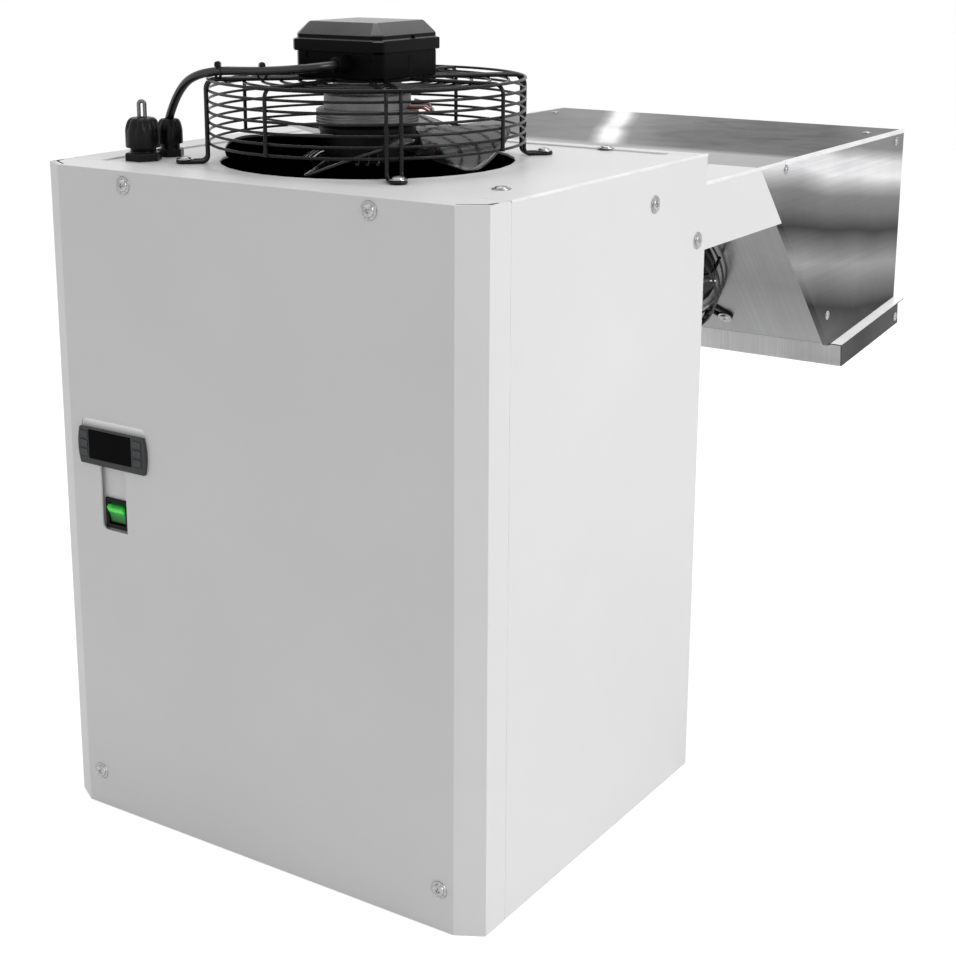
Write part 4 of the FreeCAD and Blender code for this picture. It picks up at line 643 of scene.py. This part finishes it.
def dress_solids():
    """Gives every solid from the model its material and edges."""
    for entry in frame["record"]["subparts"]:
        name = entry["node"]
        node = NODES[name]
        look = OWN_LOOKS.get(name, SLOT_LOOKS[entry["material_slot"]])
        finish(node, look, EDGE_WIDTHS.get(name, 0.0))
        if name in FLAT_SHEETS:
            node.data.shade_flat()
            continue
        node.data.shade_smooth()
        sharp = node.modifiers.new("normals", "WEIGHTED_NORMAL")
        sharp.keep_sharp = True
        node.data.set_sharp_from_angle(angle=math.radians(32))


def link(name, data, look, body=UNIT, place=None):
    """A new piece in its place, on its body."""
    obj = bpy.data.objects.new(name, data)
    bpy.context.scene.collection.objects.link(obj)
    if place is not None:
        obj.matrix_world = place
    if look and not data.materials:
        data.materials.append(LOOKS[look])
    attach(obj, body)
    return obj


def wires(name, paths, radius, look, place, body=UNIT, closed=(), sides=3):
    """Round wires along paths of points, in one piece."""
    data = bpy.data.curves.new(name, "CURVE")
    data.dimensions = "3D"
    data.bevel_depth = radius
    data.bevel_resolution = sides
    data.use_fill_caps = True
    for number, points in enumerate(paths):
        spline = data.splines.new("POLY")
        spline.points.add(len(points) - 1)
        for point, at in zip(spline.points, points):
            point.co = (*at, 1)
        spline.use_cyclic_u = number in closed
        spline.use_smooth = True
    return link(name, data, look, body, place)


def rounded(stops, bends, steps=7):
    """Points along straight runs between stops, with an arc of the given radius at each inner stop."""
    stops = [Vector(stop) for stop in stops]
    points = [stops[0]]
    for before, corner, after, bend in zip(stops, stops[1:], stops[2:], bends):
        into = (corner - before).normalized()
        out = (after - corner).normalized()
        half = into.angle(out) / 2
        first = corner - into * bend * math.tan(half)
        centre = corner + (out - into).normalized() * bend / math.cos(half)
        axis = into.cross(out)
        for step in range(steps + 1):
            turn = Matrix.Rotation(2 * half * step / steps, 3, axis)
            points.append(centre + turn @ (first - centre))
    points.append(stops[-1])
    return points


def ring(radius, level, count=96):
    """Points of a circle about Z."""
    turns = (2 * math.pi * step / count for step in range(count))
    return [(radius * math.cos(turn), radius * math.sin(turn), level) for turn in turns]


def smooth_mesh(name, build, sharp=None):
    """A mesh with smooth faces, split at edges sharper than an angle."""
    mesh = bpy.data.meshes.new(name)
    for face in build.faces:
        face.smooth = True
    build.to_mesh(mesh)
    build.free()
    if sharp:
        mesh.set_sharp_from_angle(angle=math.radians(sharp))
    return mesh


def join_rows(build, rows):
    """Faces between closed rows of points, lowest first, and one over the last row."""
    for lower, upper in zip(rows, rows[1:]):
        for step in range(len(lower)):
            after = (step + 1) % len(lower)
            build.faces.new((lower[step], lower[after], upper[after], upper[step]))
    build.faces.new(rows[-1])


def turned_mesh(name, profile, count=48):
    """A closed mesh turned about Z from (radius, height) points, lowest first."""
    build = bmesh.new()
    rows = [[build.verts.new(point) for point in ring(*stop, count)] for stop in profile]
    join_rows(build, rows)
    build.faces.new(list(reversed(rows[0])))
    return smooth_mesh(name, build, 35)


# The fan guards
GUARD_RADIUS = 0.1386
HOOP_WIRE = 0.0012
RIB_WIRE = 0.0017
RIB_GAP = 0.006
RIB_BEND = 0.0085
FOOT_BEND = 0.0055
FOOT_REACH = 0.159
BOSS_RADIUS = 0.047
RIB_START = BOSS_RADIUS - 0.004
FACE_HOOPS = [0.1240 - 0.016 * number - HOOP_WIRE for number in range(5)]
ROOF_GUARD_HEIGHT = 0.073
EVAP_GUARD_HEIGHT = 0.030
ROOF_HOOPS = [0.0172 + 0.009 * number for number in range(7)]
EVAP_HOOPS = [0.0052 + 0.011 * number for number in range(3)]


def guard(name, node, place, height, levels):
    """Fan guard of round wire: hoops, hairpin ribs with looped feet, and single ribs between them."""
    hoops = [ring(GUARD_RADIUS - HOOP_WIRE, level) for level in levels]
    top = height - RIB_WIRE
    hoops += [ring(radius, top - RIB_WIRE - HOOP_WIRE * 0.8) for radius in FACE_HOOPS]
    side = GUARD_RADIUS + RIB_WIRE - HOOP_WIRE
    ribs = []
    for quarter in range(4):
        turn = Matrix.Rotation(math.radians(45 + 90 * quarter), 3, "Z")
        half = [
            (RIB_START, RIB_GAP, top),
            (side, RIB_GAP, top),
            (side, RIB_GAP, RIB_WIRE),
            (FOOT_REACH, RIB_GAP, RIB_WIRE),
        ]
        out = rounded(half, (RIB_BEND, FOOT_BEND))
        loop = []
        for step in range(1, 12):
            angle = math.pi / 2 - math.pi * step / 12
            across = RIB_GAP * math.sin(angle)
            loop.append(Vector((FOOT_REACH + RIB_GAP * math.cos(angle), across, RIB_WIRE)))
        back = [Vector((x, -y, z)) for x, y, z in reversed(out)]
        ribs.append([turn @ point for point in out + loop + back])
        turn = Matrix.Rotation(math.radians(90 * quarter), 3, "Z")
        single = [(RIB_START, 0, top), (side, 0, top), (side, 0, levels[0] - 0.001)]
        ribs.append([turn @ point for point in rounded(single, (RIB_BEND,))])
    rings = wires(f"{name}_hoops", hoops, HOOP_WIRE, "wire", place, closed=range(len(hoops)))
    bars = wires(f"{name}_ribs", ribs, RIB_WIRE, "wire", place)
    disc = turned_mesh(
        f"{name}_boss",
        [
            (BOSS_RADIUS - 0.0005, height - 0.0034),
            (BOSS_RADIUS, height - 0.0026),
            (BOSS_RADIUS, height - 0.0008),
            (BOSS_RADIUS - 0.0008, height),
        ],
        64,
    )
    plate = link(f"{name}_boss", disc, "black_metal", place=place)
    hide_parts(node)


# The fan wheels
HUB_RADIUS = 0.043
HUB_TOP = 0.0315
BLADE_REACH = 0.035
BLADE_ROOT = 0.022
BLADE_CHORD = 0.112
BLADE_CAMBER = 0.004
BLADE_WALL = 0.00216
PITCH = math.radians(17)
LEAD_EDGE = 20
BLADE_SPAN = 47
BLADES = 5
FIRST_BLADE = 18
TIP_SHARE = 0.16
TIP_ROUND = 0.010
BLADE_STEPS = 22
REACH_STEPS = 18
BRACKET_WIRE = 0.0017


def blade_height(y, centre):
    """Height of a blade's middle surface over its own chord."""
    along = y / math.cos(PITCH)
    rise = BLADE_CAMBER * (1 - (2 * along / BLADE_CHORD) ** 2)
    return centre + y * math.tan(PITCH) + rise


def impeller(name, node, place, body, tip, centre):
    """Fan wheel: a ribbed hub cup, and five cambered blades with rounded tips."""
    build = bmesh.new()
    for number in range(BLADES):
        turn = Matrix.Rotation(math.radians(FIRST_BLADE + 360 * number / BLADES), 3, "Z")
        grid = []
        for out in range(REACH_STEPS + 1):
            reach = out / REACH_STEPS
            row = []
            for step in range(BLADE_STEPS + 1):
                part = step / BLADE_STEPS
                root = Vector((BLADE_REACH, BLADE_ROOT * (2 * part - 1)))
                angle = math.radians(LEAD_EDGE - BLADE_SPAN * (1 - part))
                corner = min(part, 1 - part) / TIP_SHARE
                back = 0.0 if corner >= 1 else TIP_ROUND * (1 - math.sqrt(1 - (1 - corner) ** 2))
                end = Vector((math.cos(angle), math.sin(angle))) * (tip - 0.0006 - back)
                flat = root.lerp(end, reach)
                row.append(build.verts.new(turn @ Vector((flat.x, flat.y, blade_height(flat.y, centre)))))
            grid.append(row)
        for one, other in zip(grid, grid[1:]):
            for step in range(BLADE_STEPS):
                build.faces.new((one[step], other[step], other[step + 1], one[step + 1]))
    mesh = smooth_mesh(f"{name}_blades", build)
    blades = link(f"{name}_blades", mesh, "blade", body, place)
    thick = blades.modifiers.new("wall", "SOLIDIFY")
    thick.thickness = BLADE_WALL
    thick.offset = 0
    soften(blades, 0.0008)
    profile = [
        (HUB_RADIUS - 0.002, 0.001),
        (HUB_RADIUS - 0.0004, 0.0018),
        (HUB_RADIUS - 0.0004, 0.006),
        (HUB_RADIUS - 0.0012, 0.0066),
        (HUB_RADIUS - 0.0012, 0.0255),
        (HUB_RADIUS - 0.0004, 0.0261),
        (HUB_RADIUS - 0.0004, HUB_TOP - 0.002),
        (HUB_RADIUS - 0.0024, HUB_TOP),
    ]
    hub = turned_mesh(f"{name}_hub", profile, 72)
    link(f"{name}_hub", hub, "black_metal", body, place)
    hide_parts(node)


def hub_brackets():
    """Bright brackets that hold each blade to the hub of the roof fan."""
    bars = []
    for number in range(BLADES):
        for side in (-9, 0, 9):
            turn = Matrix.Rotation(math.radians(FIRST_BLADE + 360 * number / BLADES + side), 3, "Z")
            stops = [(-0.001, 0.0095), (0.004, 0.0085), (0.013, 0.0025)]
            path = rounded([(HUB_RADIUS + out, 0, level) for out, level in stops], (0.004,), 4)
            bars.append([turn @ point for point in path])
    brackets = wires("hub_brackets", bars, BRACKET_WIRE, "screw", ROOF_FAN, "fan_wheel")


# Levels of a motor: under its ribs, over them, at its neck and at the guard
MOTOR_STEPS = {
    "fan_motor": (0.033, 0.045, 0.058, ROOF_GUARD_HEIGHT),
    "evaporator_motor": (0.0026, 0.013, 0.021, EVAP_GUARD_HEIGHT),
}
MOTOR_RADII = (0.0449, 0.0379, 0.0299)
RIB_PITCH = 0.0024
RIB_DEPTH = 0.0016
SHAFT_RADIUS = 0.0049


def motor(node, place):
    """Stepped motor body, with cooling ribs round its wide part and a collar at its neck."""
    low, step, neck, height = MOTOR_STEPS[node]
    wide, narrow, stem = MOTOR_RADII
    ribs = max(3, round((step - low) / RIB_PITCH))
    pitch = (step - low) / ribs
    profile = [(wide - 0.003, low + 0.0002)]
    for number in range(ribs):
        start = low + pitch * number
        profile += [
            (wide, start + pitch * 0.12),
            (wide, start + pitch * 0.55),
            (wide - RIB_DEPTH, start + pitch * 0.62),
            (wide - RIB_DEPTH, start + pitch * 0.95),
        ]
    profile += [
        (narrow, step),
        (narrow, neck - 0.0012),
        (narrow - 0.0012, neck),
        (stem, neck),
        (stem, height - 2 * RIB_WIRE),
    ]
    body = turned_mesh(f"{node}_body", profile, 96)
    body = link(f"{node}_body", body, "cast", place=place)
    stops = [(SHAFT_RADIUS - 0.0007, low - 0.0218), (SHAFT_RADIUS, low - 0.0211), (SHAFT_RADIUS, low + 0.001)]
    shaft = turned_mesh(f"{node}_shaft", stops, 32)
    link(f"{node}_shaft", shaft, "screw", place=place)
    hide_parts(node)


# The pan-head screw
SCREW_RADIUS = 0.0052
WASHER_RADIUS = 0.0078
CROWN_RADIUS = SCREW_RADIUS * 0.86
CROWN_LEVEL = 0.0023
CROWN_RISE = 0.0005
RECESS_HALF = 0.00055
RECESS_REACH = 0.0028
RECESS_DEPTH = 0.0013
RECESS_FADE = 0.0036
SMALL_SCREW = 0.64


def screw_mesh():
    """Pan-head screw on a loose washer, with a cross recess in its head."""
    build = bmesh.new()
    levels = [
        (WASHER_RADIUS - 0.0003, 0.0),
        (WASHER_RADIUS, 0.0003),
        (WASHER_RADIUS - 0.0002, 0.0008),
        (SCREW_RADIUS + 0.0001, 0.0009),
        (SCREW_RADIUS, 0.0011),
        (SCREW_RADIUS * 0.97, 0.0018),
        (CROWN_RADIUS, CROWN_LEVEL),
    ]
    levels += [(CROWN_RADIUS * (1 - step / 12), 0.0) for step in range(1, 12)]
    rows = []
    for radius, height in levels:
        row = []
        for x, y, level in ring(radius, height, 48):
            if radius < CROWN_RADIUS:
                level = CROWN_LEVEL + CROWN_RISE * (1 - (radius / CROWN_RADIUS) ** 2)
                near, far = sorted((abs(x), abs(y)))
                if near < RECESS_HALF and far < RECESS_REACH:
                    level -= RECESS_DEPTH * (1 - far / RECESS_FADE)
            row.append(build.verts.new((x, y, level)))
        rows.append(row)
    join_rows(build, rows)
    mesh = smooth_mesh("screw", build, 38)
    mesh.materials.append(LOOKS["screw"])
    return mesh


def aimed(at, normal, spin=0.0):
    """A placement at a point, with Z along the normal."""
    turn = Vector(normal).to_track_quat("Z", "Y").to_matrix().to_4x4()
    return Matrix.Translation(at) @ turn @ Matrix.Rotation(math.radians(spin), 4, "Z")


# Where the screws are: x and z on the front, y and z on the sides, x and y on the tops
FRONT_SCREWS = ((-0.127, 0.580), (0.1255, 0.5815), (-0.1867, 0.0332), (0.1885, 0.036))
SIDE_SCREWS = ((0.0863, 0.5595), (0.171, 0.5163))
HOUSING_SCREWS = ((0.3675, 0.5576), (0.6763, 0.5551), (0.4963, 0.3884))
TRAY_SCREW = (0.673, 0.356)
ROOF_SCREW = (0.182, -0.090)
RIM_SCREW = (0.1297, 0.1725)
HOUSING_TOP_SCREW = (0.2005, 0.644)


def all_screws():
    """Screws of the cabinet, the housing and both guards."""
    mesh = screw_mesh()
    up = (0, 0, 1)
    spots = [((x, FRONT, z), (0, -1, 0), 1.0) for x, z in FRONT_SCREWS]
    for side in (-1, 1):
        out = (side, 0, 0)
        spots += [((side * HALF_WIDTH, *at), out, 1.0) for at in SIDE_SCREWS]
        spots.append(((side * ROOF_SCREW[0], ROOF_SCREW[1], ROOF), up, 1.0))
        spots.append(((side * RIM_SCREW[0], RIM_SCREW[1], CABINET_TOP), up, 1.0))
        spots += [((side * EVAP_HALF, *at), out, SMALL_SCREW) for at in HOUSING_SCREWS]
        spots.append(((side * TRAY_HALF, *TRAY_SCREW), out, SMALL_SCREW))
        spots.append(((side * HOUSING_TOP_SCREW[0], HOUSING_TOP_SCREW[1], SADDLE_TOP), up, SMALL_SCREW))
    for number, (at, normal, size) in enumerate(spots):
        place = aimed(at, normal, 25 * number) @ Matrix.Diagonal((size, size, size, 1.0))
        link(f"screw_{number:02d}", mesh, None, place=place)
    for name, place in (("roof", ROOF_FAN), ("evaporator", EVAP_FAN)):
        for quarter in range(4):
            turn = Matrix.Rotation(math.radians(45 + 90 * quarter), 4, "Z")
            foot = place @ turn @ Matrix.Translation((FOOT_REACH - 0.0004, 0, 2 * RIB_WIRE))
            link(f"{name}_guard_screw_{quarter}", mesh, None, place=foot)


# The roof glands
GLAND_X = -0.170
FAN_GLAND_Y = -0.0815
SUPPLY_GLAND_Y = -0.1155
FLANGE = 0.007
FLUTES = 10
FLUTE_DEPTH = 0.11
GLAND_STEPS = 72
LOOP_WIRE = 0.0017


def gland(name, node, y, hexagon, height):
    """Roof gland: a hexagon, a threaded barrel, a fluted clamping nut and its dome."""
    build = bmesh.new()
    barrel = hexagon * 0.70
    nut = hexagon * 0.92
    levels = [
        (barrel, FLANGE, 0),
        (barrel * 0.96, FLANGE + 0.001, 0),
        (barrel, FLANGE + 0.002, 0),
        (barrel * 0.96, FLANGE + 0.003, 0),
        (barrel, FLANGE + 0.0042, 0),
        (nut * 0.98, FLANGE + 0.0045, 0),
        (nut, FLANGE + 0.0055, 0),
        (nut, height - 0.0105, 0.2),
        (nut * 0.98, height - 0.0085, 1),
        (nut * 0.94, height - 0.0060, 1),
        (nut * 0.86, height - 0.0030, 1),
        (nut * 0.76, height - 0.0010, 1),
        (nut * 0.64, height, 0.5),
        (hexagon * 0.42, height - 0.0006, 0),
        (0.0045, height, 0),
        (0.0042, height - 0.002, 0),
    ]
    rows = []
    for radius, level, flutes in levels:
        row = []
        for step in range(GLAND_STEPS):
            turn = 2 * math.pi * step / GLAND_STEPS
            wide = radius * (1 - FLUTE_DEPTH * flutes * (0.5 + 0.5 * math.cos(turn * FLUTES)) ** 3)
            row.append(build.verts.new((wide * math.cos(turn), wide * math.sin(turn), level)))
        rows.append(row)
    join_rows(build, rows)
    place = Matrix.Translation((GLAND_X, y, ROOF))
    top = link(name, smooth_mesh(name, build, 40), "gland_plastic", place=place)
    base = turned_mesh(
        f"{name}_hexagon",
        [(hexagon, 0.0), (hexagon, FLANGE - 0.0006), (hexagon * 0.94, FLANGE)],
        6,
    )
    for polygon in base.polygons:
        polygon.use_smooth = False
    soften(link(f"{name}_hexagon", base, "gland_plastic", place=place), 0.0005)
    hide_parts(node)


# The cabinet's edges, the seam between its cover and side panels, and the open corner of the cover's fold,
# whose gaps get painted shade
CABINET_HALF = 0.225
CABINET_DEPTH_HALF = 0.1865
COVER_HALF = 0.2025
SEAM_Y = -0.1443
SEAM_WIDTH = 0.0012
SEAL_WIRE = 0.0006
COVER_FOLD = 0.0007
FOLD_INSET = 0.7
CORNER_GAP = (
    (0.2005, -0.1822),
    (0.2222, -0.1694),
    (0.2232, -0.1590),
    (0.2222, -0.1590),
    (0.2194, -0.1690),
    (0.2000, -0.1812),
)


def roof_details():
    """Glands, the wire loop in the larger one, the upper folds and black strips of painted shade in the gaps
    at the cover's top.
    """
    gland("gland_fan_nut", "gland_fan", FAN_GLAND_Y, hexagon=0.0125, height=0.033)
    gland("gland_supply_nut", "gland_supply", SUPPLY_GLAND_Y, hexagon=0.0165, height=0.037)
    loop = rounded(
        [(-0.0026, 0, 0), (-0.0026, 0, 0.0150), (0.0026, 0, 0.0150), (0.0026, 0, 0)],
        (0.0025, 0.0025),
    )
    spin = Matrix.Rotation(math.radians(34), 4, "Z")
    place = Matrix.Translation((GLAND_X, SUPPLY_GLAND_Y, ROOF + 0.036)) @ spin
    wires("gland_loop", [loop], LOOP_WIRE, "dark_steel", place)
    edge_highlights()
    seam = outline(0.1960, 0.2235, SEAM_Y - SEAM_WIDTH, SEAM_Y)
    for side in (-1, 1):
        inlay(f"corner_gap_{side}", [(side * x, y) for x, y in CORNER_GAP], CABINET_TOP)
        inlay(f"seam_gap_{side}", [(side * x, y) for x, y in seam], ROOF + 0.0006)


def outline(west, east, near, far):
    """The four corners of a rectangle."""
    return [(west, near), (east, near), (east, far), (west, far)]


def edge_highlights():
    """Rounded folds along the upper edges, where the coats and the stainless catch the light; all but the
    cover's fold, and the seam seals, are pale white as a painted highlight.
    """
    here = Matrix.Identity(4)
    inner = COVER_FOLD * FOLD_INSET
    y, z = inner - CABINET_DEPTH_HALF, CABINET_TOP - inner
    wires("cover_fold", [[(-COVER_HALF, y, z), (COVER_HALF, y, z)]], COVER_FOLD, "powder", here)
    saddle_half, saddle_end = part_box("saddle_cover")[1].x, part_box("saddle_cover")[1].y
    folds = (
        ("panel_folds", CABINET_HALF, SEAM_Y, CABINET_DEPTH_HALF, CABINET_TOP, 0.0014),
        ("saddle_folds", saddle_half, CABINET_DEPTH_HALF + 0.001, saddle_end, SADDLE_TOP, 0.0018),
        ("evaporator_folds", EVAP_HALF, saddle_end + 0.001, EVAP_FAR, SADDLE_TOP, 0.0027),
    )
    # Painted highlight: pale folds along the panels, the saddle and the stainless
    for name, half, near, far, top, radius in folds:
        x, z = half - radius * FOLD_INSET, top - radius * FOLD_INSET
        wires(name, [[(side * x, near, z), (side * x, far, z)] for side in (-1, 1)], radius, "fold_highlight", here)
    x, y = CABINET_HALF - 0.0007, SEAM_Y - SEAM_WIDTH / 2
    seams = [[(side * x, y, 0.002), (side * x, y, ROOF)] for side in (-1, 1)]
    wires("seam_seals", seams, SEAL_WIRE, "fold_highlight", here)


def prism(name, corners, low, high, look):
    """A small upright piece on an outline."""
    mesh = bpy.data.meshes.new(name)
    build = bmesh.new()
    rows = [[build.verts.new((x, y, level)) for x, y in corners] for level in (low, high)]
    join_rows(build, rows)
    build.faces.new(list(reversed(rows[0])))
    bmesh.ops.recalc_face_normals(build, faces=build.faces)
    build.to_mesh(mesh)
    build.free()
    return link(name, mesh, look)


def inlay(name, corners, level):
    """A thin black strip in a sheet, hardly over its level: painted shade in a gap."""
    prism(name, corners, level - 0.0004, level + 0.00012, "gap_shade")


# The lead's route on the roof, as in the model: metres, heights over the roof plate
LEAD_ROUTE = [
    (-0.0015, -0.061, 0.0855),
    (-0.002, -0.086, 0.0845),
    (-0.058, -0.084, 0.079),
    (-0.112, -0.100, 0.079),
    (-0.152, -0.089, 0.061),
    (GLAND_X, FAN_GLAND_Y, 0.033),
]
LEAD = 0.0075


def fan_lead():
    """The lead from the terminal box to the roof gland, as one smooth line."""
    data = bpy.data.curves.new("fan_lead_line", "CURVE")
    data.dimensions = "3D"
    data.bevel_depth = LEAD / 2
    data.bevel_resolution = 6
    data.resolution_u = 24
    spline = data.splines.new("NURBS")
    spline.points.add(len(LEAD_ROUTE) - 1)
    for point, (x, y, z) in zip(spline.points, LEAD_ROUTE):
        point.co = (x, y, z + ROOF, 1)
    spline.order_u = 3
    spline.use_endpoint_u = True
    lead = link("fan_lead_line", data, "sheath")
    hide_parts("fan_lead")


# The cable ties, as (x, y, heading), and their height over the roof plate
TIES = ((-0.060, -0.0842, 96), (-0.0985, -0.0962, 74))
TIE_LEVEL = 0.0785
TIE_FLAT = 0.0036
TIE_WIRE = 0.0011


def cable_ties():
    """Ties that hold the lead to the guard: a band and its lock each."""
    for number, (x, y, heading) in enumerate(TIES):
        place = Matrix.Translation((x, y, TIE_LEVEL + ROOF)) @ Matrix.Rotation(math.radians(heading), 4, "Z")
        band = [(0, y, z - 0.0012) for y, z, _ in ring(LEAD / 2 + 0.0009, 0, 28)]
        band = [(x, y, min(z, TIE_FLAT) if z > 0 else z) for x, y, z in band]
        wires(f"tie_band_{number}", [band], TIE_WIRE, "gland_plastic", place, closed=(0,), sides=2)
        lock = turned_mesh(
            f"tie_lock_{number}",
            [(0.0030, 0.0), (0.0036, 0.0005), (0.0036, 0.0032), (0.0030, 0.0040), (0.0014, 0.0048)],
            4,
        )
        link(f"tie_lock_{number}", lock, "gland_plastic", place=place @ Matrix.Translation((0, 0, TIE_FLAT)))


# The route of a motor wire from the motor's axis, and its radius
MOTOR_WIRE_ROUTE = (
    (0.036, 0, 0.046),
    (0.052, 0.002, 0.046),
    (0.058, 0.010, 0.040),
    (0.050, 0.018, 0.047),
    (0.038, 0.016, 0.050),
)
MOTOR_WIRE = 0.0011


def small_wires():
    """Two thin wires of the motor that show below it through the guard."""
    path = rounded(MOTOR_WIRE_ROUTE, (0.004,) * 3, 5)
    for number, (look, turn) in enumerate((("wire_red", 12), ("wire_white", 22))):
        spin = Matrix.Rotation(math.radians(turn), 4, "Z") @ Matrix.Translation((0, 0, 0.001 * number))
        wires(f"motor_wire_{number}", [path], MOTOR_WIRE, look, ROOF_FAN @ spin)


# The terminal box
BOX_HALF = 0.046
CLIP_WIDTH = 0.006


def box_details():
    """Slot and lid notch of the terminal box as black blocks of painted shade, and its lid clips."""
    base = ROOF + ROOF_GUARD_HEIGHT
    side = FAN_X + BOX_HALF
    slot = outline(side - 0.001, side + 0.0002, -0.0030, 0.0025)
    prism("box_slot", slot, base + 0.0035, base + 0.0185, "gap_shade")
    notch = outline(side - 0.0030, side + 0.0015, 0.0030, 0.0046)
    prism("lid_notch", notch, base + 0.0318, base + 0.0352, "gap_shade")
    for number, x in enumerate((-0.0475, 0.0225)):
        clip = outline(x, x + CLIP_WIDTH, -BOX_HALF - 0.0012, -BOX_HALF + 0.001)
        name = f"lid_clip_{number}"
        soften(prism(name, clip, base + 0.0165, base + 0.0225, "black_plastic"), 0.0004)


def lamp(name, place, target, size, power):
    """A soft rectangular lamp aimed at a point."""
    data = bpy.data.lights.new(name, "AREA")
    data.shape = "RECTANGLE"
    data.size, data.size_y = size
    data.energy = power
    obj = bpy.data.objects.new(name, data)
    obj.matrix_world = aimed(place, Vector(place) - Vector(target))
    bpy.context.scene.collection.objects.link(obj)


# The lamps, as (name, place, target, size, power), and the strength of the world
LAMPS = (
    ("key", (2.8, 0.1, 1.9), (0.1, 0, 0.3), (1.6, 1.6), 40),
    ("front", (-1.4, -3.0, 1.6), (0, 0, 0.3), (2.0, 1.6), 6),
    ("over", (-0.4, 0.6, 3.2), (0, 0.1, 0.4), (2.0, 2.0), 26),
)
WORLD_FILL = 0.40


def studio():
    """Soft studio light and a world that shows white to the camera, to gloss and through glass."""
    scene = bpy.context.scene
    scene.view_settings.view_transform = "Standard"
    world = bpy.data.worlds.new("studio")
    scene.world = world
    world.use_nodes = True
    tree = world.node_tree
    fill = tree.nodes["Background"]
    white = tree.nodes.new("ShaderNodeBackground")
    for node, strength in ((fill, WORLD_FILL), (white, 1.0)):
        node.inputs["Color"].default_value = (1, 1, 1, 1)
        node.inputs["Strength"].default_value = strength
    path = tree.nodes.new("ShaderNodeLightPath")
    seen, either = (tree.nodes.new("ShaderNodeMath") for _ in range(2))
    seen.operation = either.operation = "MAXIMUM"
    mix = tree.nodes.new("ShaderNodeMixShader")
    tree.links.new(path.outputs["Is Camera Ray"], seen.inputs[0])
    tree.links.new(path.outputs["Is Glossy Ray"], seen.inputs[1])
    tree.links.new(seen.outputs[0], either.inputs[0])
    tree.links.new(path.outputs["Is Transmission Ray"], either.inputs[1])
    tree.links.new(either.outputs[0], mix.inputs[0])
    tree.links.new(fill.outputs[0], mix.inputs[1])
    tree.links.new(white.outputs[0], mix.inputs[2])
    tree.links.new(mix.outputs[0], tree.nodes["World Output"].inputs["Surface"])
    for each in LAMPS:
        lamp(*each)


FLOOR_GLOW = 0.62
FLOOR_SIZE = 12
FLOOR_LEVEL = -0.0005


def floor():
    """Pale floor: it takes the shadow and shows white elsewhere."""
    look = Look("pale_floor")
    tone = look.ramp(look.noise(3), (0.3, grey(0.80)), (0.7, grey(0.84)))
    look.set(Base_Color=tone, Roughness=0.9)
    path = look.add("ShaderNodeLightPath")
    seen = look.add("ShaderNodeMath", operation="MAXIMUM")
    look.join(path.outputs["Is Camera Ray"], seen.inputs[0])
    look.join(path.outputs["Is Glossy Ray"], seen.inputs[1])
    glow = look.add("ShaderNodeEmission")
    look.join(look.span(seen.outputs[0], 0.0, FLOOR_GLOW), glow.inputs["Strength"])
    both = look.add("ShaderNodeAddShader")
    look.join(look.shader.outputs[0], both.inputs[0])
    look.join(glow.outputs[0], both.inputs[1])
    look.join(both.outputs[0], look.tree.nodes["Material Output"].inputs["Surface"])
    mesh = bpy.data.meshes.new("floor")
    build = bmesh.new()
    bmesh.ops.create_grid(build, x_segments=1, y_segments=1, size=FLOOR_SIZE)
    build.to_mesh(mesh)
    build.free()
    mesh.materials.append(look.material)
    obj = bpy.data.objects.new("floor", mesh)
    obj.location = (0, 0, FLOOR_LEVEL)
    bpy.context.scene.collection.objects.link(obj)


add_camera()
fan_lead()
dress_solids()
guard("roof_guard", "fan_guard", ROOF_FAN, ROOF_GUARD_HEIGHT, ROOF_HOOPS)
guard("evap_guard", "evaporator_guard", EVAP_FAN, EVAP_GUARD_HEIGHT, EVAP_HOOPS)
impeller("roof_wheel", "fan_impeller", ROOF_FAN, "fan_wheel", tip=0.125, centre=0.015)
impeller("evap_wheel", "evaporator_impeller", EVAP_FAN, "evaporator_wheel", tip=0.118, centre=0.021)
motor("fan_motor", ROOF_FAN)
motor("evaporator_motor", EVAP_FAN)
hub_brackets()
small_wires()
all_screws()
roof_details()
cable_ties()
box_details()
studio()
floor()
